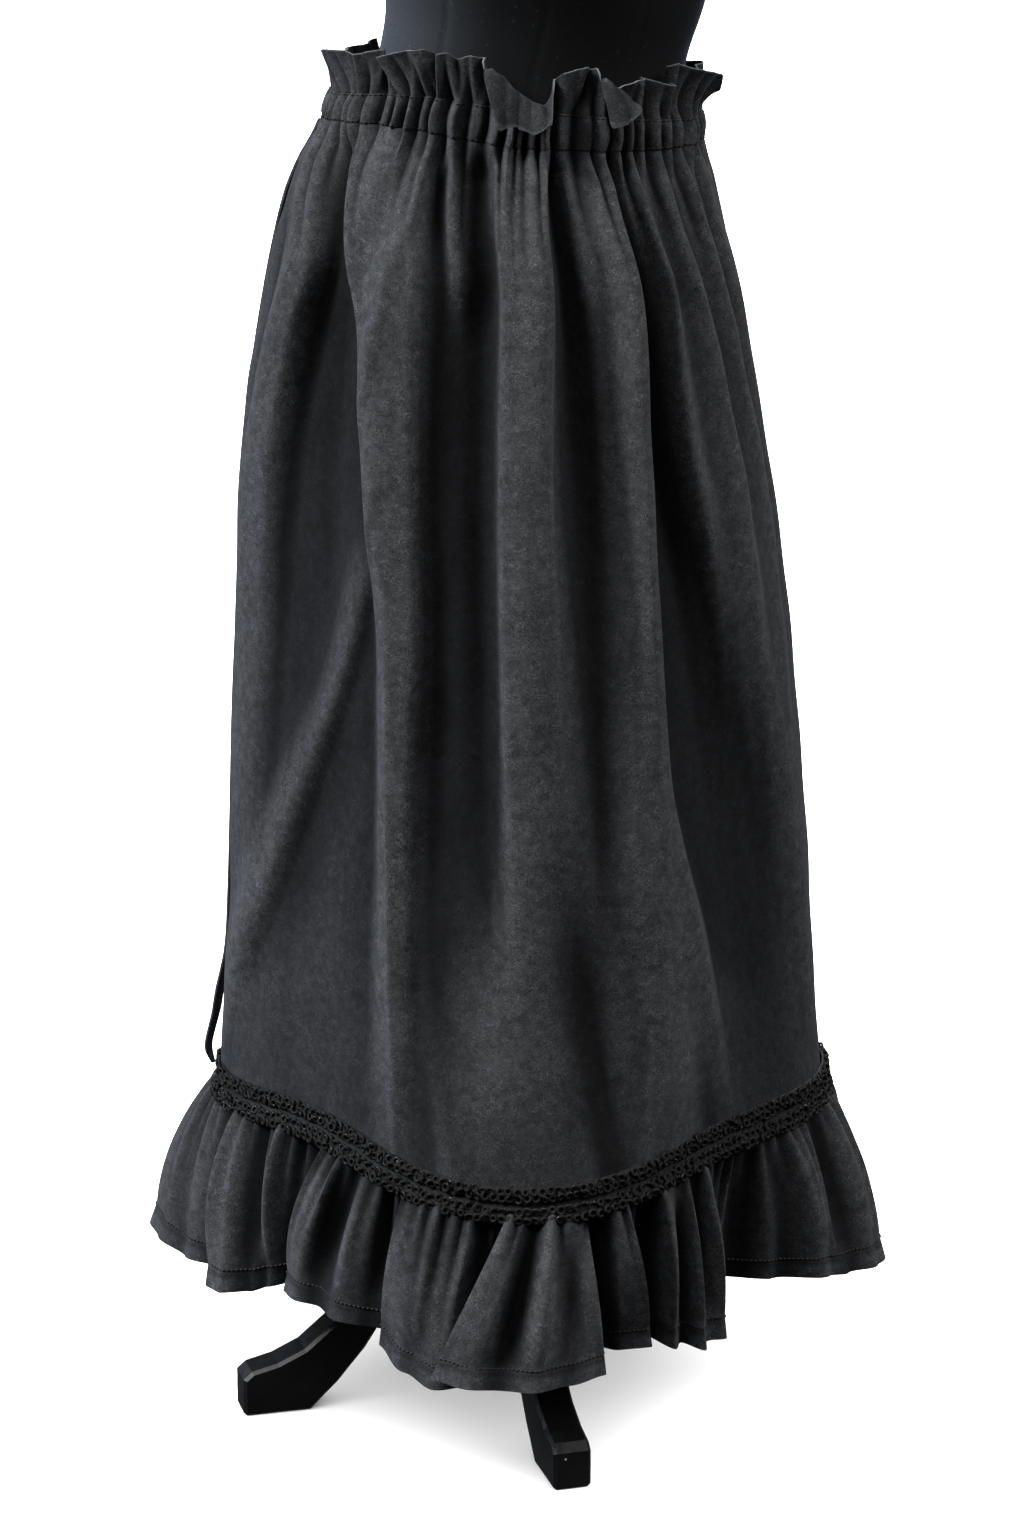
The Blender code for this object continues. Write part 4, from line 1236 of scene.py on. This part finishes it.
class SKIRT_OT_ruffle(bpy.types.Operator):
    """Makes the gathered hem ruffle with its stitched hem"""

    bl_idname = "skirt.ruffle"
    bl_label = "Hem ruffle"

    def execute(self, context):
        looks = context.scene.skirt_looks
        cotton = look_of("charcoal_brushed_cotton", brushed_cotton)
        thread = look_of("dark_thread", dark_thread)
        grid, painted_lightness, seam = ruffle_grid()
        made = halves("ruffle_cloth", grid, painted_lightness, looks.cloth_thickness / MM, seam, cotton)
        normals = outward(grid, True)
        lengths = np.linalg.norm(np.diff(grid, axis=0), axis=-1)
        to_hem = np.cumsum(lengths[::-1], axis=0)[::-1]
        rows = np.argmin(np.abs(to_hem - HEM_TURNING), axis=0)
        columns = np.arange(grid.shape[1])
        line = grid[rows, columns]
        pitch = looks.stitch_pitch / MM
        places = stitch_row(line, normals[rows, columns], pitch, HEM_THREAD, HEM_THREAD / 2)
        shape = stitch_shape(STITCH_LENGTH, HEM_THREAD)
        stitches = copies_mesh("hem_stitches", *shape, places, thread)
        finish_piece(stitches, ())
        for piece, node in zip(made, ("hem_ruffle_front", "hem_ruffle_back")):
            finish_piece(piece, (node,))
        return {"FINISHED"}


class SKIRT_OT_waist(bpy.types.Operator):
    """Makes the elastic casing, the free frill and the casing's stitches"""

    bl_idname = "skirt.waist"
    bl_label = "Casing and frill"

    def execute(self, context):
        looks = context.scene.skirt_looks
        cotton = look_of("charcoal_brushed_cotton", brushed_cotton)
        thread = look_of("dark_thread", dark_thread)
        casing, painted_lightness, seam = casing_grid()
        made = halves("casing_cloth", casing, painted_lightness, looks.casing_thickness / MM, seam, cotton)
        for piece, node in zip(made, ("waist_casing_front", "waist_casing_back")):
            finish_piece(piece, (node,))
        normals = outward(casing, True)
        rows = []
        for r in (1, -2):
            rows.append(stitch_row(casing[r], normals[r], looks.stitch_pitch / MM, CASING_THREAD, 0.2))
        shape = stitch_shape(STITCH_LENGTH, CASING_THREAD)
        stitches = copies_mesh("casing_stitches", *shape, np.concatenate(rows), thread)
        finish_piece(stitches, ())
        grid, painted_lightness, seam = frill_grid()
        made = halves("frill_cloth", grid, painted_lightness, looks.cloth_thickness / MM, seam, cotton)
        for piece, node in zip(made, ("waist_frill_front", "waist_frill_back")):
            finish_piece(piece, (node,))
        return {"FINISHED"}


def braid_level(seam, way, up, out):
    """Line round the seam at a height over it and a stand off the cloth."""
    level = seam + way * (out + max(0, -up * BRAID_FLARE))
    level[:, 2] += up
    return level


class SKIRT_OT_braid(bpy.types.Operator):
    """Makes the looped braid over the seam of skirt and ruffle"""

    bl_idname = "skirt.braid"
    bl_label = "Looped braid"

    def execute(self, context):
        looks = context.scene.skirt_looks
        yarn = look_of("black_looped_braid", looped_braid)
        angle = np.linspace(-180, 180, BRAID_SIDES + 1)[:-1]
        seam = body_point(angle, np.full_like(angle, TRIM), 0 * angle)
        turn = np.radians(angle)
        way = np.stack([np.cos(turn), np.sin(turn), 0 * turn], axis=-1)
        outer = np.array([braid_level(seam, way, up, out) for up, out in BRAID_PROFILE])
        inner = np.array([braid_level(seam, way, up, BRAID_BACK) for up, _ in BRAID_PROFILE])
        band = grid_mesh("braid_band", outer, inner, np.ones(outer.shape[:2]), True, yarn)
        finish_piece(band, ("braid_trim",))
        chance = np.random.default_rng(7)
        shape = loop_shape(looks.loop_size / MM, looks.loop_yarn / MM, 9, 5)
        for name, rows in BRAID_LOOPS:
            places = []
            for number, (up, out) in enumerate(rows):
                line = braid_level(seam, way, up, out)
                points, along, _ = spaced(np.roll(line, 3 * number, axis=0), LOOP_PITCH)
                count = len(points)
                normal = np.cross(along, np.broadcast_to([0, 0, 1.0], along.shape))
                normal /= np.linalg.norm(normal, axis=1, keepdims=True)
                lift = np.cross(normal, along)
                lean = chance.uniform(-0.6, 0.6, count)[:, None]
                roll = chance.uniform(-0.5, 0.5, count)[:, None]
                axis = normal + along * lean + lift * roll
                axis /= np.linalg.norm(axis, axis=1, keepdims=True)
                first = along - axis * np.sum(along * axis, axis=1, keepdims=True)
                first /= np.linalg.norm(first, axis=1, keepdims=True)
                second = np.cross(axis, first)
                size = chance.uniform(0.85, 1.2, count)[:, None]
                place = np.zeros((count, 3, 4))
                place[:, :, 0] = first * size
                place[:, :, 1] = second * size
                place[:, :, 2] = axis
                jog = lift * chance.uniform(-0.9, 0.9, count)[:, None]
                jog = jog + normal * chance.uniform(-0.6, 0.4, count)[:, None]
                place[:, :, 3] = points + jog
                places.append(place)
            curls = copies_mesh(f"braid_loops_{name}", *shape, np.concatenate(places), yarn)
            finish_piece(curls, ())
        return {"FINISHED"}


class SKIRT_OT_tie(bpy.types.Operator):
    """Makes the tie end that hangs down the left side"""

    bl_idname = "skirt.tie"
    bl_label = "Tie end"

    def execute(self, context):
        cotton = look_of("charcoal_brushed_cotton", brushed_cotton)
        heights = np.linspace(TIE[0][0], TIE[-1][0], TIE_ROWS)
        keys = [row[0] for row in TIE]
        stand = curve(keys, [row[1] for row in TIE], heights)
        width = curve(keys, [row[2] for row in TIE], heights)
        across = np.linspace(-1, 1, 13)
        angle = TIE_ANGLE + TIE_SPAN / 2 * across[None, :] * width[:, None]
        z = heights[:, None] + 0 * angle
        base = body_point(angle, z, 4 + 0 * angle)
        turn = np.radians(angle)
        way = np.stack([np.cos(turn), np.sin(turn), 0 * turn], axis=-1)
        edge = np.sqrt(np.maximum(0, 1 - across**2))[None, :, None]
        inner = base + way * (stand[:, None, None] - 0.2 * edge)
        outer = base + way * (stand[:, None, None] + 0.5 + 2.6 * edge)
        piece = grid_mesh("tie_cloth", outer, inner, 0.7 + 0 * angle, False, cotton)
        finish_piece(piece, ("tie_end",))
        return {"FINISHED"}


class SKIRT_OT_form(bpy.types.Operator):
    """Makes the fabric cover of the dress form with its seams"""

    bl_idname = "skirt.form"
    bl_label = "Form cover"

    def execute(self, context):
        jersey = look_of("black_form_jersey", form_jersey)
        angle = np.linspace(-180, 180, FORM_SIDES + 1)[:-1]
        z = np.linspace(FORM_TOP, FORM_BASE, FORM_ROWS)
        keys = [row[0] for row in FORM]
        width, depth, x, y = (curve(keys, [row[i] for row in FORM], z)[:, None] for i in range(1, 5))
        groove = sum(np.exp(-((turn_between(angle, at) / 0.9) ** 2)) for at in FORM_SEAMS)
        turn = np.radians(angle)[None, :]
        walls = []
        for inset in (0.7 * groove[None, :], FORM_WALL):
            side = x + (width - inset) * np.cos(turn)
            ahead = y + (depth - inset) * np.sin(turn)
            walls.append(np.stack([side, ahead, z[:, None] + 0 * turn], axis=-1))
        piece = grid_mesh("form_cover", *walls, np.ones(walls[0].shape[:2]), True, jersey)
        finish_piece(piece, ("form_torso",))
        return {"FINISHED"}


class SKIRT_OT_stand(bpy.types.Operator):
    """Paints the stand, the hub and the neck cap"""

    bl_idname = "skirt.stand"
    bl_label = "Stand"

    def execute(self, context):
        paint = look_of("satin_black_paint", painted_wood)
        for name in ("neck_cap", "stand_pole", "stand_hub", "leg_left", "leg_front", "leg_back"):
            node = frame["nodes"][name]
            for slot in node.material_slots:
                slot.material = paint
        return {"FINISHED"}


class SKIRT_OT_stage(bpy.types.Operator):
    """Makes the studio floor, the lights and the camera"""

    bl_idname = "skirt.stage"
    bl_label = "Stage"

    def execute(self, context):
        scene = context.scene
        looks = scene.skirt_looks
        bpy.ops.object.select_all(action="DESELECT")
        bpy.ops.mesh.primitive_plane_add(size=FLOOR_SIZE, location=FLOOR_PLACE)
        floor = context.object
        floor.name = "studio_floor"
        white, _, _, shader = make_material("studio_floor_white")
        shader.inputs["Base Color"].default_value = (*looks.floor_colour, 1)
        shader.inputs["Roughness"].default_value = 0.9
        shader.inputs["Specular IOR Level"].default_value = 0.1
        floor.data.materials.append(white)
        floor.visible_diffuse = False
        floor.visible_glossy = False
        groups = {}
        for name in ("pieces", "floor", "form"):
            groups[name] = bpy.data.collections.new(f"lit_{name}")
        groups["form"].objects.link(bpy.data.objects["form_cover"])
        for thing in scene.objects:
            if thing.type == "MESH":
                groups["floor" if thing == floor else "pieces"].objects.link(thing)
        world = bpy.data.worlds.new("studio")
        world.use_nodes = True
        background = world.node_tree.nodes["Background"]
        background.inputs["Color"].default_value = WORLD_COLOUR
        background.inputs["Strength"].default_value = WORLD_STRENGTH
        self.plain_backdrop(world.node_tree)
        scene.world = world
        for name, bearing, height, strength, colour, spread, lights in LIGHTS:
            self.light(context, name, (bearing, height), strength, colour, spread, groups[lights])
        camera = bpy.data.objects.new("camera", bpy.data.cameras.new("camera"))
        scene.collection.objects.link(camera)
        camera.location = CAMERA_PLACE
        camera.rotation_euler = (math.radians(90 - CAMERA_DOWN), 0, 0)
        camera.data.lens = CAMERA_LENS
        camera.data.sensor_width = CAMERA_SENSOR
        camera.data.clip_end = 200
        scene.camera = camera
        scene.view_settings.view_transform = "Standard"
        return {"FINISHED"}

    def plain_backdrop(self, tree):
        """Shows white behind the floor, while the dim world lights the part."""
        seen = tree.nodes.new("ShaderNodeLightPath")
        white = tree.nodes.new("ShaderNodeBackground")
        white.inputs["Color"].default_value = (1, 1, 1, 1)
        choice = tree.nodes.new("ShaderNodeMixShader")
        tree.links.new(seen.outputs["Is Camera Ray"], choice.inputs["Fac"])
        tree.links.new(tree.nodes["Background"].outputs["Background"], choice.inputs[1])
        tree.links.new(white.outputs["Background"], choice.inputs[2])
        tree.links.new(choice.outputs["Shader"], tree.nodes["World Output"].inputs["Surface"])

    def light(self, context, name, place, strength, colour, spread, receivers):
        """Adds one soft sun: place is its bearing from the front and its height."""
        data = bpy.data.lights.new(name, "SUN")
        data.energy = strength
        data.color = colour
        data.angle = math.radians(spread)
        made = bpy.data.objects.new(name, data)
        context.scene.collection.objects.link(made)
        bearing, height = place
        made.rotation_euler = (math.radians(90 - height), 0, math.radians(bearing))
        made.light_linking.receiver_collection = receivers


class SKIRT_PT_tools(bpy.types.Panel):
    """Lists the steps that make the skirt"""

    bl_label = "Skirt"
    bl_idname = "SKIRT_PT_tools"
    bl_space_type = "VIEW_3D"
    bl_region_type = "UI"
    bl_category = "Skirt"

    def draw(self, context):
        looks = context.scene.skirt_looks
        for name in SkirtLooks.__annotations__:
            self.layout.prop(looks, name)
        for step in STEPS:
            self.layout.operator(step.bl_idname)


STEPS = (
    SKIRT_OT_panels,
    SKIRT_OT_ruffle,
    SKIRT_OT_waist,
    SKIRT_OT_braid,
    SKIRT_OT_tie,
    SKIRT_OT_form,
    SKIRT_OT_stand,
    SKIRT_OT_stage,
)
CLASSES = (SkirtLooks, *STEPS, SKIRT_PT_tools)


def register():
    for made in CLASSES:
        bpy.utils.register_class(made)
    bpy.types.Scene.skirt_looks = bpy.props.PointerProperty(type=SkirtLooks)


def unregister():
    del bpy.types.Scene.skirt_looks
    for made in reversed(CLASSES):
        bpy.utils.unregister_class(made)


def main():
    register()
    bpy.ops.skirt.panels()
    bpy.ops.skirt.ruffle()
    bpy.ops.skirt.waist()
    bpy.ops.skirt.braid()
    bpy.ops.skirt.tie()
    bpy.ops.skirt.form()
    bpy.ops.skirt.stand()
    bpy.ops.skirt.stage()


if __name__ == "__main__":
    main()
